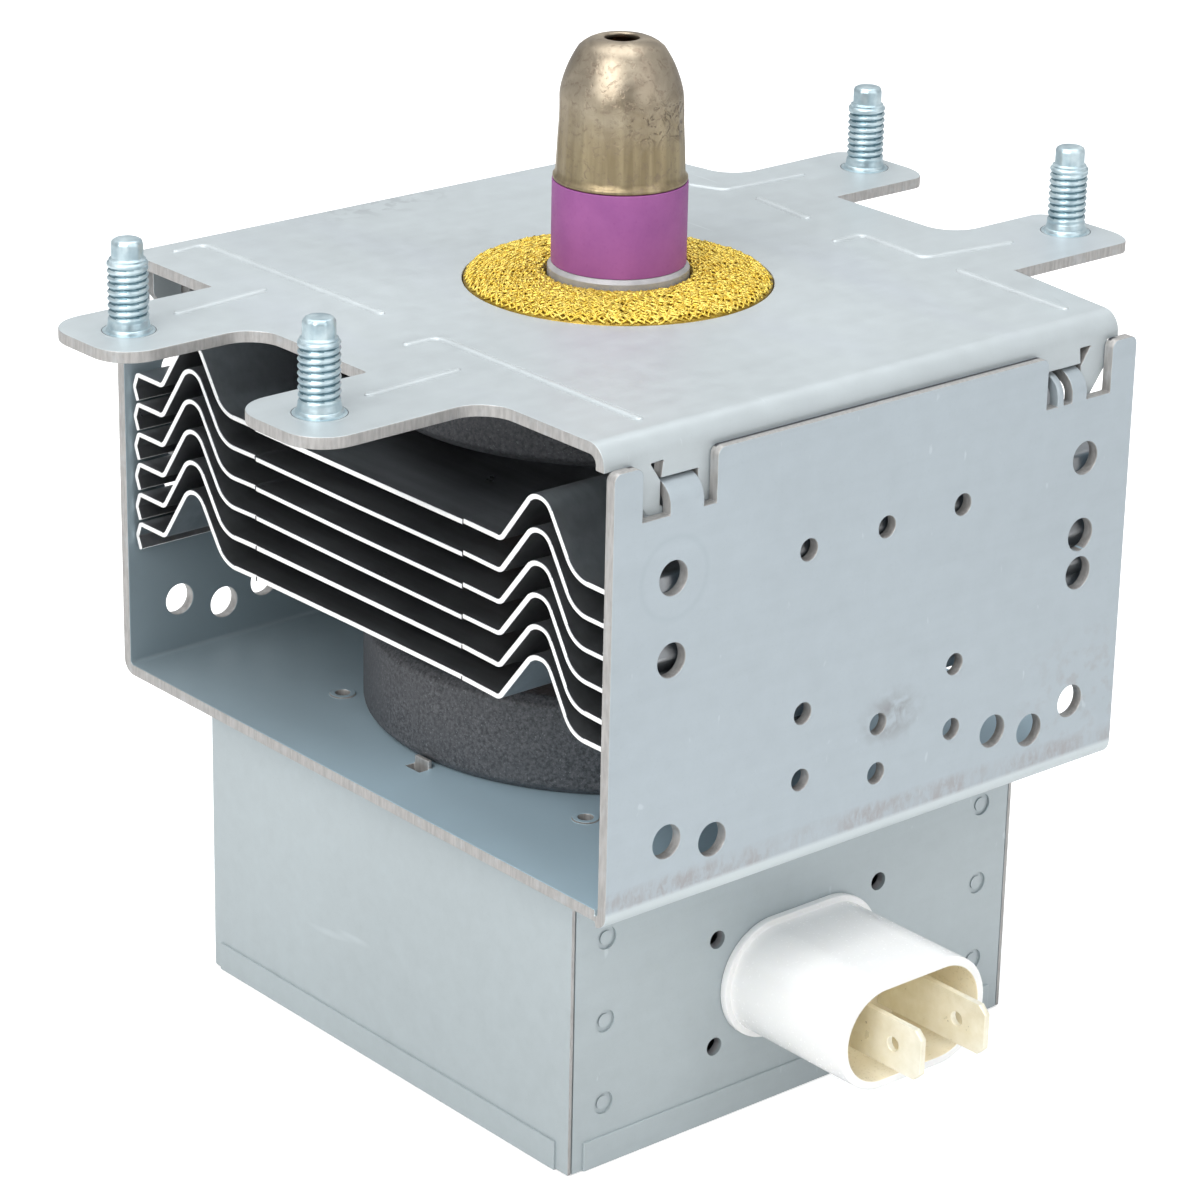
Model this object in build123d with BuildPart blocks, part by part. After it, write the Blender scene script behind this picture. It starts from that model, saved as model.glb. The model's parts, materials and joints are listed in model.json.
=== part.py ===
from build123d import *

import os
from math import atan2, cos, radians, sin, tan

os.makedirs("parts", exist_ok=True)

# Magnetron with its magnetic yoke, cooling fins and filter box. Millimetres, +Z up.
# The origin is on the antenna axis, in the mounting face (top of the upper yoke).
# X runs along the side walls, the connector points to -Y.

# Driving sizes of the yoke
yoke_sheet = 1.4
yoke_length = 79.7
yoke_width = 92.5
yoke_height = 55.1
wall_drop = 2.8
floor_bend = 0.5
plate_bend = 1.05
upper_length = 80.3
flange_depth = 13.0
yoke_gap = 0.05
mid_height = -yoke_height / 2

# Mounting ears and studs
stud_spacing_x = 114.2
stud_spacing_y = 35.8
stud_radius = 2.45
stud_collar_radius = 2.75
stud_collar_height = 0.45
stud_height = 10.7
stud_thread_top = 7.9
stud_dog_radius = 1.9
stud_shoulder = 0.6
stud_head_radius = 3.6
stud_head_height = 1.0
ear_end_margin = 6.6
ear_outer_wide = 7.9
ear_inner_wide = 7.8
ear_outer_narrow = 7.3
ear_inner_narrow = 7.5
ear_outer_taper = 0.5
ear_corner = 5.0
ear_sweep = 4.3
ear_inner_corner = 0.5
ear_gap_edge = 44.8

# Stiffening beads pressed into the mounting face
bead_width = 1.3
bead_depth = 0.3
bead_bend = 1.4
bent_beads = [
    [(-30.6, 6.0), (-30.9, 40.4), (-35.2, 39.9)],
    [(-31.2, -39.8), (-30.9, -4.9), (-35.1, -4.9)],
    [(31.4, -4.2), (35.9, -3.9), (35.0, -15.6), (47.7, -17.4)],
    [(33.7, 25.0), (35.6, 20.8), (47.9, 20.1)],
]
straight_beads = [
    [(-49.0, 19.8), (-36.4, 21.0)],
    [(-49.3, -16.4), (-36.7, -15.5)],
    [(34.7, -22.2), (33.8, -40.0)],
    [(36.3, 15.0), (35.3, 5.4)],
]

# Clinch tabs that hold the two yoke halves together
clinch_centre = 29.5
clinch_tab_width = 4.8
clinch_inner_edge = 25.3
clinch_outer_edge = 35.8
clinch_depth = 6.2
clinch_tab_drop = 2.6
clinch_tab_reach = 1.2
clinch_slot_gap = 0.25
clinch_slot_drop = 0.8
clinch_slot_bulge = 0.7
tab_bend = 1.4
relief_rise = 1.9
relief_inner = 0.3
relief_outer = 1.45
flange_edge = 36.3
flange_edge_top = -3.0
flange_edge_foot = -6.0
flange_foot = 30.9
flange_corner = 0.8
post_corner = 1.0

# Holes in the side walls, as distance along the wall and height
hole_shift = 0.55
large_hole_radius = 2.0
small_hole_radius = 1.3
large_holes = [
    (-31.75, -16.3),
    (-31.75, -25.8),
    (-31.75, -47.3),
    (-25.0, -48.9),
    (31.75, -16.3),
    (31.75, -25.8),
    (31.75, -30.6),
    (31.75, -46.9),
    (25.0, -48.9),
    (18.8, -47.4),
]
small_holes = [
    (-11.9, -17.65),
    (0.0, -17.65),
    (11.9, -17.65),
    (-11.9, -37.2),
    (11.9, -37.2),
    (0.0, -41.6),
    (-11.9, -45.3),
    (11.9, -45.3),
    (0.0, -47.7),
]
rivet_hole_radius = 0.9
rivet_places = [(-24.9, 21.0), (-25.1, -25.4)]
rivet_rim = 0.7
rivet_rim_height = 0.25

# Magnets
magnet_radius = 30.0
magnet_thickness = 12.0
magnet_bore = 11.0
magnet_chamfer = 1.0
magnet_stop_sheet = 0.6
magnet_stop_width = 2.6
magnet_stop_height = 1.0
magnet_stop_gap = 0.15
magnet_stop_slot = 1.3
magnet_stop_side = 2.1

# Anode and its vacuum tube
anode_radius = 19.25
anode_wall = 2.8
seal_sheet = 0.5
pole_thickness = 1.5
pole_mouth_radius = 12.6
pole_nose_radius = 6.4
pole_hole_radius = 4.6
pole_nose_depth = 6.0
vane_count = 10
vane_thickness = 1.8
vane_pole_gap = 1.4
vane_tip_radius = 4.7
strap_inner_radius = 6.1
strap_outer_radius = 7.9
strap_width = 0.6
strap_height = 1.3
strap_side_gap = 0.3
strap_relief = 0.5
filament_radius = 1.9
filament_wire = 0.3
filament_turns = 6
hat_thickness = 1.2
upper_hat_radius = 3.6
lower_hat_radius = 4.0
hat_bore = 1.2
hat_gap = 0.2
lead_radius = 0.7
lead_bend = 2.0
lead_spacing = 10.2
side_lead_offset = 2.9
lead_spread_top = 6.7
lead_spread_foot = 1.7
lead_gap = 0.03

# Seals, stem and antenna
seal_body_radius = 10.0
seal_neck_radius = 8.4
seal_neck_drop = 2.0
seal_flange_radius = 17.0
seal_lip_radius = 6.5
lower_seal_radius = 9.5
stem_seat_drop = 1.6
stem_radius = 8.2
stem_height = 6.0
terminal_disc_radius = 1.7
terminal_disc_height = 0.7
ceramic_radius = 8.0
ceramic_bore = 5.6
ceramic_bottom = 2.2
ceramic_height = 10.0
cap_gap = 0.05
cap_height = 16.8
cap_wall = 0.5
cap_rim_radius = 7.9
cap_rim_height = 0.5
cap_skirt_radius = 7.66
cap_step = (7.42, 5.8)
cap_body_radius = 7.33
cap_body_start = 7.2
cap_body_height = 10.3
cap_cheek = (6.86, 12.6)
cap_shoulder = (5.5, 15.0)
cap_brow = (4.65, 16.2)
cap_crown_radius = 3.4
cap_hole_radius = 2.0
exhaust_radius = 3.0
exhaust_wall = 0.8
exhaust_height = 12.0
exhaust_flange = 0.5
antenna_lead_radius = 0.75
antenna_lead_offset = 9.5
antenna_hole_radius = 1.6
antenna_bend = 4.0
antenna_knee_drop = 2.0
antenna_join_drop = 4.0

# Gasket around the antenna
gasket_radius = 18.25
gasket_bore = 8.75
gasket_crown = [(18.25, 0.3), (17.4, 0.75), (15.0, 1.15), (12.0, 1.4), (10.0, 1.45), (8.75, 1.15)]
gasket_hole_gap = 0.15
washer_thickness = 0.4
washer_bore = 9.0

# Cooling fins
fin_count = 6
fin_pitch = 3.8
fin_top_level = 15.9
fin_sheet = 0.6
fin_length = 77.4
fin_wall_gap = 0.1
fin_collar_height = 1.6
fin_collar_wall = 0.5
fin_bore_gap = 0.05
fin_lip_bulge = 0.7
fin_lip_gap = 0.2
fin_lip_bend = 0.1
hump_rise = 9.0
hump_width = 12.45
hump_foot_run = 6.1
hump_starts = (-38.55, 26.1)
hump_peak_radius = 2.3
hump_foot_radius = 4.2
hump_valley_radius = 1.2
hump_inner_end = 18.0
hump_slit = 0.8
hump_slit_margin = 1.2

# Filter box
box_sheet = 0.5
box_size = 70.2
box_height = 37.5
box_corner = 1.2
box_flange_width = 8.0
box_stem_gap = 0.6
lid_sheet = 0.6
lid_flange_height = 3.7
lid_flange_stop = 1.6
lid_corner = 0.6
panel_gap = 0.06
dimple_radius = 1.4
dimple_button_radius = 0.85
dimple_button_drop = 0.12
dimple_depth = 0.3
dimple_spacing_x = 59.8
dimple_spacing_z = 10.5
dimple_rows = 3
dimple_top = 8.6
panel_hole_radius = 1.15
panel_hole_spacing_x = 25.8
panel_hole_spacing_z = 13.9

# Connector and filter parts
connector_height = -76.0
connector_half_run = 4.65
connector_radius = 6.8
connector_wall = 1.1
connector_reach = 19.8
connector_floor = 9.0
connector_flange = 0.8
connector_flange_height = 1.0
connector_neck_radius = 6.0
connector_edge = 0.35
panel_slot_gap = 0.1
ground_plate_width = 33.0
ground_plate_height = 21.0
ground_plate_sheet = 0.8
ground_plate_corner = 3.0
capacitor_radius = 5.4
capacitor_length = 7.6
blade_spacing = 10.2
blade_width = 6.3
blade_sheet = 0.8
blade_overhang = 6.7
blade_chamfer = 1.0
blade_hole_radius = 0.9
blade_hole_inset = 4.5
blade_tail_width = 2.2
blade_tail_overhang = 2.4
blade_gap = 0.02
coil_radius = 3.4
coil_wire = 0.7
coil_tail = 1.8
coil_turns = 6
ferrite_radius = 2.45
ferrite_overhang = 0.7


# Heights and half sizes that follow from the driving sizes
half_width = yoke_width / 2
wall_inner = half_width - yoke_sheet
flange_outer = wall_inner - yoke_gap
flange_inner = flange_outer - yoke_sheet
wall_top = -wall_drop
plate_bottom = -yoke_sheet
floor_top = -yoke_height + yoke_sheet
upper_magnet_top = plate_bottom
upper_magnet_bottom = upper_magnet_top - magnet_thickness
lower_magnet_top = floor_top + magnet_thickness
anode_top = upper_magnet_bottom - seal_sheet - pole_thickness
anode_bottom = lower_magnet_top + seal_sheet + pole_thickness
anode_bore = anode_radius - anode_wall
nose_face = anode_top - pole_nose_depth
vane_height = 2 * (nose_face - mid_height - vane_pole_gap)
vane_top = mid_height + vane_height / 2
vane_bottom = mid_height - vane_height / 2
connector_offset = lead_spacing / 2
box_top = -yoke_height
box_bottom = box_top - box_height
panel_outer = box_size / 2


# Planes of the two side walls, seen from outside, and a turn of half a circle between them
wall_planes = [
    Plane(origin=(0, -half_width, 0), x_dir=(1, 0, 0), z_dir=(0, -1, 0)),
    Plane(origin=(0, half_width, 0), x_dir=(-1, 0, 0), z_dir=(0, 1, 0)),
]


# Upper yoke: folded channel with four mounting ears
ear_tip = stud_spacing_x / 2 + ear_end_margin
ear_y = stud_spacing_y / 2
plate_edge = upper_length / 2

ear_root = -ear_y - ear_outer_narrow - 2 * ear_sweep
with BuildSketch() as ear_outline:
    with BuildLine():
        edge = FilletPolyline(
            (-plate_edge + ear_sweep, ear_y + ear_outer_wide),
            (-ear_tip, ear_y + ear_outer_wide),
            (-ear_tip, ear_y - ear_inner_narrow),
            (-ear_gap_edge, ear_y - ear_inner_narrow),
            (-ear_gap_edge, -ear_y + ear_inner_wide),
            (-ear_tip, -ear_y + ear_inner_wide),
            (-ear_tip, -ear_y - ear_outer_narrow - ear_outer_taper),
            (-plate_edge, -ear_y - ear_outer_narrow),
            (-plate_edge, ear_root),
            (-plate_edge + ear_sweep, ear_root),
            radius=[
                ear_corner,
                ear_corner,
                ear_sweep,
                ear_inner_corner,
                ear_corner,
                ear_corner,
                ear_sweep,
                ear_inner_corner,
            ],
        )
        Line(edge @ 1, edge @ 0)
    make_face()

tab_half = clinch_tab_width / 2
tab_top = -wall_drop - clinch_tab_drop
clinch_bottom = wall_top - clinch_depth

with BuildPart() as upper_yoke:
    with BuildSketch(Plane.YZ) as channel:
        with BuildLine():
            FilletPolyline(
                (-flange_outer, -flange_depth),
                (-flange_outer, 0),
                (flange_outer, 0),
                (flange_outer, -flange_depth),
                radius=plate_bend + yoke_sheet,
            )
            Line((flange_outer, -flange_depth), (flange_inner, -flange_depth))
            FilletPolyline(
                (flange_inner, -flange_depth),
                (flange_inner, plate_bottom),
                (-flange_inner, plate_bottom),
                (-flange_inner, -flange_depth),
                radius=plate_bend,
            )
            Line((-flange_inner, -flange_depth), (-flange_outer, -flange_depth))
        make_face()
    extrude(amount=plate_edge, both=True)
    # The flange's ends are cut away below the bend, clear of the wall posts
    slot_inner = clinch_centre - tab_half - clinch_slot_gap
    slot_outer = clinch_centre + tab_half + clinch_slot_gap
    slot_top = tab_top + clinch_slot_gap
    slot_bottom = clinch_bottom - clinch_slot_drop
    bulge_top = tab_top - tab_bend - yoke_sheet
    below_flange = -flange_depth - yoke_sheet
    beyond_end = plate_edge + yoke_sheet
    for side in wall_planes:
        with BuildSketch(side):
            for way in (-1, 1):
                with BuildLine():
                    end_cut = FilletPolyline(
                        (way * flange_edge, flange_edge_top),
                        (way * flange_edge, flange_edge_foot),
                        (way * flange_foot, -flange_depth),
                        radius=flange_corner,
                    )
                    Polyline(
                        end_cut @ 1,
                        (way * flange_foot, below_flange),
                        (way * beyond_end, below_flange),
                        (way * beyond_end, flange_edge_top),
                        end_cut @ 0,
                    )
                make_face()
            # Slot for each clinch tab, bulged in under the tab's bend
            for way in (-1, 1):
                with BuildLine():
                    Polyline(
                        (way * slot_outer, bulge_top),
                        (way * slot_outer, slot_top),
                        (way * slot_inner, slot_top),
                        (way * slot_inner, slot_bottom),
                        (way * slot_outer, slot_bottom),
                    )
                    ThreePointArc(
                        (way * slot_outer, slot_bottom),
                        (way * (slot_outer - clinch_slot_bulge), (slot_bottom + bulge_top) / 2),
                        (way * slot_outer, bulge_top),
                    )
                make_face()
            # Triangular relief above the slot's outer corner
            for way in (-1, 1):
                with BuildLine():
                    Polyline(
                        (way * slot_outer, slot_top - clinch_slot_gap),
                        (way * (slot_outer + relief_outer), slot_top + relief_rise),
                        (way * (slot_outer - relief_inner), slot_top + relief_rise),
                        close=True,
                    )
                make_face()
        extrude(amount=-(half_width - flange_inner) - yoke_gap, mode=Mode.SUBTRACT)
    with BuildSketch(Plane.XY):
        with PolarLocations(0, 2):
            add(ear_outline.sketch)
    extrude(amount=plate_bottom)
    # Opening for the gasket and the antenna
    with BuildSketch(Plane.XY):
        Circle(gasket_radius + gasket_hole_gap)
    extrude(amount=plate_bottom, mode=Mode.SUBTRACT)
    # Stud holes
    with Locations(Plane.XY):
        with GridLocations(stud_spacing_x, stud_spacing_y, 2, 2):
            Hole(stud_collar_radius + yoke_gap)
    # Stiffening beads
    with BuildSketch(Plane.XY):
        with BuildLine():
            for route in bent_beads:
                FilletPolyline(*route, radius=bead_bend)
            for route in straight_beads:
                Line(*route)
        trace(line_width=bead_width)
    extrude(amount=-bead_depth, mode=Mode.SUBTRACT)

upper_yoke.part.label = "upper_yoke"
export_step(upper_yoke.part, "parts/upper_yoke.step")


# Lower yoke: U-shaped sheet with clinch tabs curled in over the upper yoke's flange
tab_outer_bend = tab_bend + yoke_sheet
tab_bend_centre = (-half_width + tab_outer_bend, tab_top - tab_outer_bend)

with BuildPart() as lower_yoke:
    with BuildSketch(Plane.YZ):
        with BuildLine():
            FilletPolyline(
                (-half_width, wall_top),
                (-half_width, -yoke_height),
                (half_width, -yoke_height),
                (half_width, wall_top),
                radius=floor_bend + yoke_sheet,
            )
            Line((half_width, wall_top), (wall_inner, wall_top))
            FilletPolyline(
                (wall_inner, wall_top),
                (wall_inner, floor_top),
                (-wall_inner, floor_top),
                (-wall_inner, wall_top),
                radius=floor_bend,
            )
            Line((-wall_inner, wall_top), (-half_width, wall_top))
        make_face()
    extrude(amount=yoke_length / 2, both=True)
    clinch_run = clinch_outer_edge - clinch_inner_edge
    clinch_middle = (clinch_outer_edge + clinch_inner_edge) / 2
    for side in wall_planes:
        with BuildSketch(side):
            # Notches for the clinch tabs
            with Locations(*[(way * clinch_middle, (wall_top + clinch_bottom) / 2) for way in (-1, 1)]):
                Rectangle(clinch_run, clinch_depth)
            with Locations((hole_shift, 0)):
                with Locations(*large_holes):
                    Circle(large_hole_radius)
                with Locations(*small_holes):
                    Circle(small_hole_radius)
        extrude(amount=-yoke_sheet - yoke_gap / 2, mode=Mode.SUBTRACT)
    # Rounded upper corners of the posts and of the wall between the notches
    corner_edges = [
        e
        for e in lower_yoke.edges().filter_by(Axis.Y)
        if abs(e.center().Z - wall_top) < 0.01 and abs(e.center().Y) > wall_inner
    ]
    fillet(corner_edges, post_corner)
    # Clinch tabs: up through the notch, then curled inwards
    with BuildSketch(Plane.YZ.offset(clinch_centre)) as tab_profile:
        with BuildLine():
            Line((-half_width, clinch_bottom), (-half_width, tab_bend_centre[1]))
            CenterArc(tab_bend_centre, tab_outer_bend, 180, -90)
            Line(
                (tab_bend_centre[0], tab_top),
                (tab_bend_centre[0] + clinch_tab_reach, tab_top),
            )
            Line(
                (tab_bend_centre[0] + clinch_tab_reach, tab_top),
                (tab_bend_centre[0] + clinch_tab_reach, tab_top - yoke_sheet),
            )
            Line(
                (tab_bend_centre[0] + clinch_tab_reach, tab_top - yoke_sheet),
                (tab_bend_centre[0], tab_top - yoke_sheet),
            )
            CenterArc(tab_bend_centre, tab_bend, 90, 90)
            Line((-wall_inner, tab_bend_centre[1]), (-wall_inner, clinch_bottom))
            Line((-wall_inner, clinch_bottom), (-half_width, clinch_bottom))
        make_face()
    one_tab = extrude(tab_profile.sketch, amount=tab_half, both=True, mode=Mode.PRIVATE)
    other_tab = mirror(one_tab, about=Plane.YZ, mode=Mode.PRIVATE)
    with PolarLocations(0, 2):
        add(one_tab)
        add(other_tab)
    # Way through for the stem
    with BuildSketch(Plane.XY.offset(floor_top)):
        Circle(lower_seal_radius + box_stem_gap)
    extrude(amount=-yoke_sheet, mode=Mode.SUBTRACT)
    # Pierced bosses that hold the filter box
    with BuildSketch(Plane.XY.offset(floor_top)):
        with PolarLocations(0, 2):
            with Locations(*rivet_places):
                Circle(rivet_hole_radius + rivet_rim)
    extrude(amount=rivet_rim_height)
    with BuildSketch(Plane.XY.offset(floor_top + rivet_rim_height)):
        with PolarLocations(0, 2):
            with Locations(*rivet_places):
                Circle(rivet_hole_radius)
    extrude(amount=-yoke_sheet - rivet_rim_height, mode=Mode.SUBTRACT)
    # Lanced stops that centre the magnet, each beside the slot it was bent from
    stop_face = magnet_radius + magnet_stop_gap
    with BuildSketch(Plane.XY.offset(floor_top)):
        with PolarLocations(0, 2):
            with Locations((-stop_face - magnet_stop_sheet / 2, -magnet_stop_side)):
                Rectangle(magnet_stop_sheet, magnet_stop_width)
    extrude(amount=magnet_stop_height)
    with BuildSketch(Plane.XY.offset(floor_top)):
        with PolarLocations(0, 2):
            with Locations((-stop_face - magnet_stop_sheet - magnet_stop_slot / 2, -magnet_stop_side)):
                Rectangle(magnet_stop_slot, magnet_stop_width)
    extrude(amount=-yoke_sheet, mode=Mode.SUBTRACT)

lower_yoke.part.label = "lower_yoke"
export_step(lower_yoke.part, "parts/lower_yoke.step")


# Mounting studs: one turned shape, four times, with heads under the ears
with BuildPart() as one_stud:
    with BuildSketch(Plane.XZ):
        with BuildLine():
            Polyline(
                (0, plate_bottom - stud_head_height),
                (stud_head_radius, plate_bottom - stud_head_height),
                (stud_head_radius, plate_bottom),
                (stud_collar_radius, plate_bottom),
                (stud_collar_radius, stud_collar_height / 2),
                (stud_radius, stud_collar_height),
                (stud_radius, stud_thread_top),
                (stud_dog_radius, stud_thread_top + stud_shoulder),
                (stud_dog_radius, stud_height - stud_shoulder / 2),
                (stud_dog_radius - stud_shoulder / 2, stud_height),
                (0, stud_height),
                close=True,
            )
        make_face()
    revolve(axis=Axis.Z)

with BuildPart() as mounting_studs:
    with GridLocations(stud_spacing_x, stud_spacing_y, 2, 2):
        add(one_stud.part)

mounting_studs.part.label = "mounting_studs"
export_step(mounting_studs.part, "parts/mounting_studs.step")


# Ring magnets above and below the tube
for node, top in (("upper_magnet", upper_magnet_top), ("lower_magnet", lower_magnet_top)):
    with BuildPart() as magnet:
        with BuildSketch(Plane.XY.offset(top - magnet_thickness)):
            Circle(magnet_radius)
            Circle(magnet_bore, mode=Mode.SUBTRACT)
        extrude(amount=magnet_thickness)
        rims = magnet.edges().filter_by(GeomType.CIRCLE).group_by(SortBy.RADIUS)[-1]
        chamfer(rims, magnet_chamfer)
    magnet.part.label = node
    export_step(magnet.part, f"parts/{node}.step")


# Cooling fins: flat at the anode, with lanced humps over the corners and lips at the walls
fin_edge = wall_inner - fin_wall_gap - fin_sheet / 2
lip_drop = fin_pitch - fin_sheet / 2 - fin_lip_gap
# Where a hump's rounded feet leave the flat sheet
hump_run = fin_length / 2 - hump_inner_end
hump_middle_x = hump_inner_end + hump_run / 2
foot_tangent = hump_foot_radius * tan(atan2(hump_rise, hump_foot_run) / 2)
valley_tangent = hump_valley_radius * tan(atan2(hump_rise, hump_width - hump_foot_run) / 2)
slot_width = hump_width + foot_tangent + valley_tangent
slot_shift = (hump_width + valley_tangent - foot_tangent) / 2

for number in range(1, fin_count + 1):
    level = -fin_top_level - (number - 1) * fin_pitch
    with BuildPart() as cooling_fin:
        # Flat sheet with curled lips
        with BuildSketch(Plane.YZ):
            with BuildLine():
                FilletPolyline(
                    (-fin_edge + fin_lip_bulge, level - lip_drop),
                    (-fin_edge, level - lip_drop / 2),
                    (-fin_edge + fin_lip_bulge, level),
                    (fin_edge - fin_lip_bulge, level),
                    (fin_edge, level - lip_drop / 2),
                    (fin_edge - fin_lip_bulge, level - lip_drop),
                    radius=[fin_sheet, fin_sheet / 2 + fin_lip_bend, fin_sheet / 2 + fin_lip_bend, fin_sheet],
                )
            trace(line_width=fin_sheet)
        extrude(amount=fin_length / 2, both=True)
        # Slots where the humps rise, and a cross slit at each hump's inner end
        with BuildSketch(Plane.XY.offset(level)):
            for start in hump_starts:
                for end in (-1, 1):
                    with Locations((end * hump_middle_x, start + slot_shift)):
                        Rectangle(hump_run, slot_width)
                    with Locations((end * (hump_inner_end - hump_slit / 2), start + slot_shift)):
                        Rectangle(hump_slit, slot_width + 2 * hump_slit_margin)
        extrude(amount=fin_sheet, both=True, mode=Mode.SUBTRACT)
        # Humps of bent sheet
        for start in hump_starts:
            for end_plane in (hump_inner_end, -hump_inner_end - hump_run):
                with BuildSketch(Plane.YZ.offset(end_plane)):
                    with BuildLine():
                        FilletPolyline(
                            (start - foot_tangent - hump_slit_margin, level),
                            (start, level),
                            (start + hump_foot_run, level + hump_rise),
                            (start + hump_width, level),
                            (start + hump_width + valley_tangent + hump_slit_margin, level),
                            radius=[hump_foot_radius, hump_peak_radius, hump_valley_radius],
                        )
                    trace(line_width=fin_sheet)
                extrude(amount=hump_run)
        # Collar that grips the anode
        bore = anode_radius + fin_bore_gap
        with BuildSketch(Plane.XY.offset(level - fin_sheet / 2)):
            Circle(bore + fin_collar_wall)
        extrude(amount=fin_sheet + fin_collar_height)
        with BuildSketch(Plane.XY.offset(level - fin_sheet)):
            Circle(bore)
        extrude(amount=2 * fin_sheet + fin_collar_height, mode=Mode.SUBTRACT)
    cooling_fin.part.label = f"cooling_fin_{number}"
    export_step(cooling_fin.part, f"parts/cooling_fin_{number}.step")


# Mesh gasket and the washer under it
washer_top = plate_bottom + washer_thickness
with BuildPart() as rf_gasket:
    with BuildSketch(Plane.XZ):
        with BuildLine():
            Polyline(
                (gasket_bore, washer_top),
                (gasket_radius, washer_top),
                *gasket_crown,
                (gasket_bore, washer_top),
            )
        make_face()
    revolve(axis=Axis.Z)

rf_gasket.part.label = "rf_gasket"
export_step(rf_gasket.part, "parts/rf_gasket.step")

with BuildPart() as gasket_washer:
    with BuildSketch(Plane.XY.offset(plate_bottom)):
        Circle(gasket_radius)
        Circle(washer_bore, mode=Mode.SUBTRACT)
    extrude(amount=washer_thickness)

gasket_washer.part.label = "gasket_washer"
export_step(gasket_washer.part, "parts/gasket_washer.step")


# Anode shell
with BuildPart() as anode_shell:
    with BuildSketch(Plane.XY.offset(anode_bottom)):
        Circle(anode_radius)
        Circle(anode_bore, mode=Mode.SUBTRACT)
    extrude(amount=anode_top - anode_bottom)

anode_shell.part.label = "anode_shell"
export_step(anode_shell.part, "parts/anode_shell.step")


# Vanes, each notched above and below for the strap rings, one ring of each pair kept clear
strap_seat = strap_height + strap_relief
for number in range(1, vane_count + 1):
    turn = (number - 1) * 360 / vane_count
    clear_radius = (strap_inner_radius, strap_outer_radius)[number % 2]
    touch_radius = (strap_outer_radius, strap_inner_radius)[number % 2]
    along = (cos(radians(turn)), sin(radians(turn)), 0)
    across = (sin(radians(turn)), -cos(radians(turn)), 0)
    with BuildPart() as vane:
        with BuildSketch(Plane(origin=(0, 0, mid_height), x_dir=along, z_dir=across)):
            with Locations(((vane_tip_radius + anode_bore) / 2, 0)):
                Rectangle(anode_bore - vane_tip_radius, vane_height)
            for way in (-1, 1):
                with Locations((clear_radius + strap_width / 2, way * (vane_height - strap_seat) / 2)):
                    Rectangle(strap_width + 2 * strap_side_gap, strap_seat, mode=Mode.SUBTRACT)
                with Locations((touch_radius + strap_width / 2, way * (vane_height - strap_height) / 2)):
                    Rectangle(strap_width + 2 * strap_side_gap, strap_height, mode=Mode.SUBTRACT)
        extrude(amount=vane_thickness / 2, both=True)
        # The root follows the round wall of the shell
        with BuildSketch(Plane.XY.offset(vane_bottom)):
            Circle(anode_bore)
        extrude(amount=vane_height, mode=Mode.INTERSECT)
    vane.part.label = f"anode_vane_{number}"
    export_step(vane.part, f"parts/anode_vane_{number}.step")

# Strap rings, two above and two below
ring_places = [
    (strap_inner_radius, vane_top - strap_height),
    (strap_outer_radius, vane_top - strap_height),
    (strap_inner_radius, vane_bottom),
    (strap_outer_radius, vane_bottom),
]
for number, (radius, bottom) in enumerate(ring_places, 1):
    with BuildPart() as strap_ring:
        with BuildSketch(Plane.XY.offset(bottom)):
            Circle(radius + strap_width)
            Circle(radius, mode=Mode.SUBTRACT)
        extrude(amount=strap_height)
    strap_ring.part.label = f"strap_ring_{number}"
    export_step(strap_ring.part, f"parts/strap_ring_{number}.step")


# Pole pieces: dished iron funnels, mirror images about the tube's middle
rim_face = anode_top + pole_thickness
with BuildPart() as upper_pole_piece:
    with BuildSketch(Plane.XZ):
        with BuildLine():
            Polyline(
                (anode_radius, anode_top),
                (anode_radius, rim_face),
                (pole_mouth_radius, rim_face),
                (pole_nose_radius, nose_face + pole_thickness),
                (pole_hole_radius, nose_face + pole_thickness),
                (pole_hole_radius, nose_face),
                (pole_nose_radius + pole_thickness / 2, nose_face),
                (pole_mouth_radius + pole_thickness / 2, anode_top),
                close=True,
            )
        make_face()
    revolve(axis=Axis.Z)
    # Way through for the antenna lead
    with BuildSketch(Plane.XY.offset(rim_face)):
        with Locations((antenna_lead_offset, 0)):
            Circle(antenna_hole_radius)
    extrude(amount=nose_face - rim_face, mode=Mode.SUBTRACT)

upper_pole_piece.part.label = "upper_pole_piece"
export_step(upper_pole_piece.part, "parts/upper_pole_piece.step")

with BuildPart() as lower_pole_piece:
    with BuildSketch(Plane.XZ):
        with BuildLine():
            Polyline(
                (anode_radius, anode_bottom),
                (anode_radius, anode_bottom - pole_thickness),
                (pole_mouth_radius, anode_bottom - pole_thickness),
                (pole_nose_radius, anode_bottom + pole_nose_depth - pole_thickness),
                (pole_hole_radius, anode_bottom + pole_nose_depth - pole_thickness),
                (pole_hole_radius, anode_bottom + pole_nose_depth),
                (pole_nose_radius + pole_thickness / 2, anode_bottom + pole_nose_depth),
                (pole_mouth_radius + pole_thickness / 2, anode_bottom),
                close=True,
            )
        make_face()
    revolve(axis=Axis.Z)

lower_pole_piece.part.label = "lower_pole_piece"
export_step(lower_pole_piece.part, "parts/lower_pole_piece.step")


# Cathode: end hats, coiled filament and the two leads
upper_hat_bottom = vane_top + hat_gap
lower_hat_top = vane_bottom - hat_gap
filament_height = upper_hat_bottom - lower_hat_top - 2 * filament_wire

with BuildPart() as upper_end_hat:
    with BuildSketch(Plane.XY.offset(upper_hat_bottom)):
        Circle(upper_hat_radius)
    extrude(amount=hat_thickness)

upper_end_hat.part.label = "upper_end_hat"
export_step(upper_end_hat.part, "parts/upper_end_hat.step")

with BuildPart() as lower_end_hat:
    with BuildSketch(Plane.XY.offset(lower_hat_top)):
        Circle(lower_hat_radius)
        Circle(hat_bore, mode=Mode.SUBTRACT)
    extrude(amount=-hat_thickness)

lower_end_hat.part.label = "lower_end_hat"
export_step(lower_end_hat.part, "parts/lower_end_hat.step")

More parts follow.
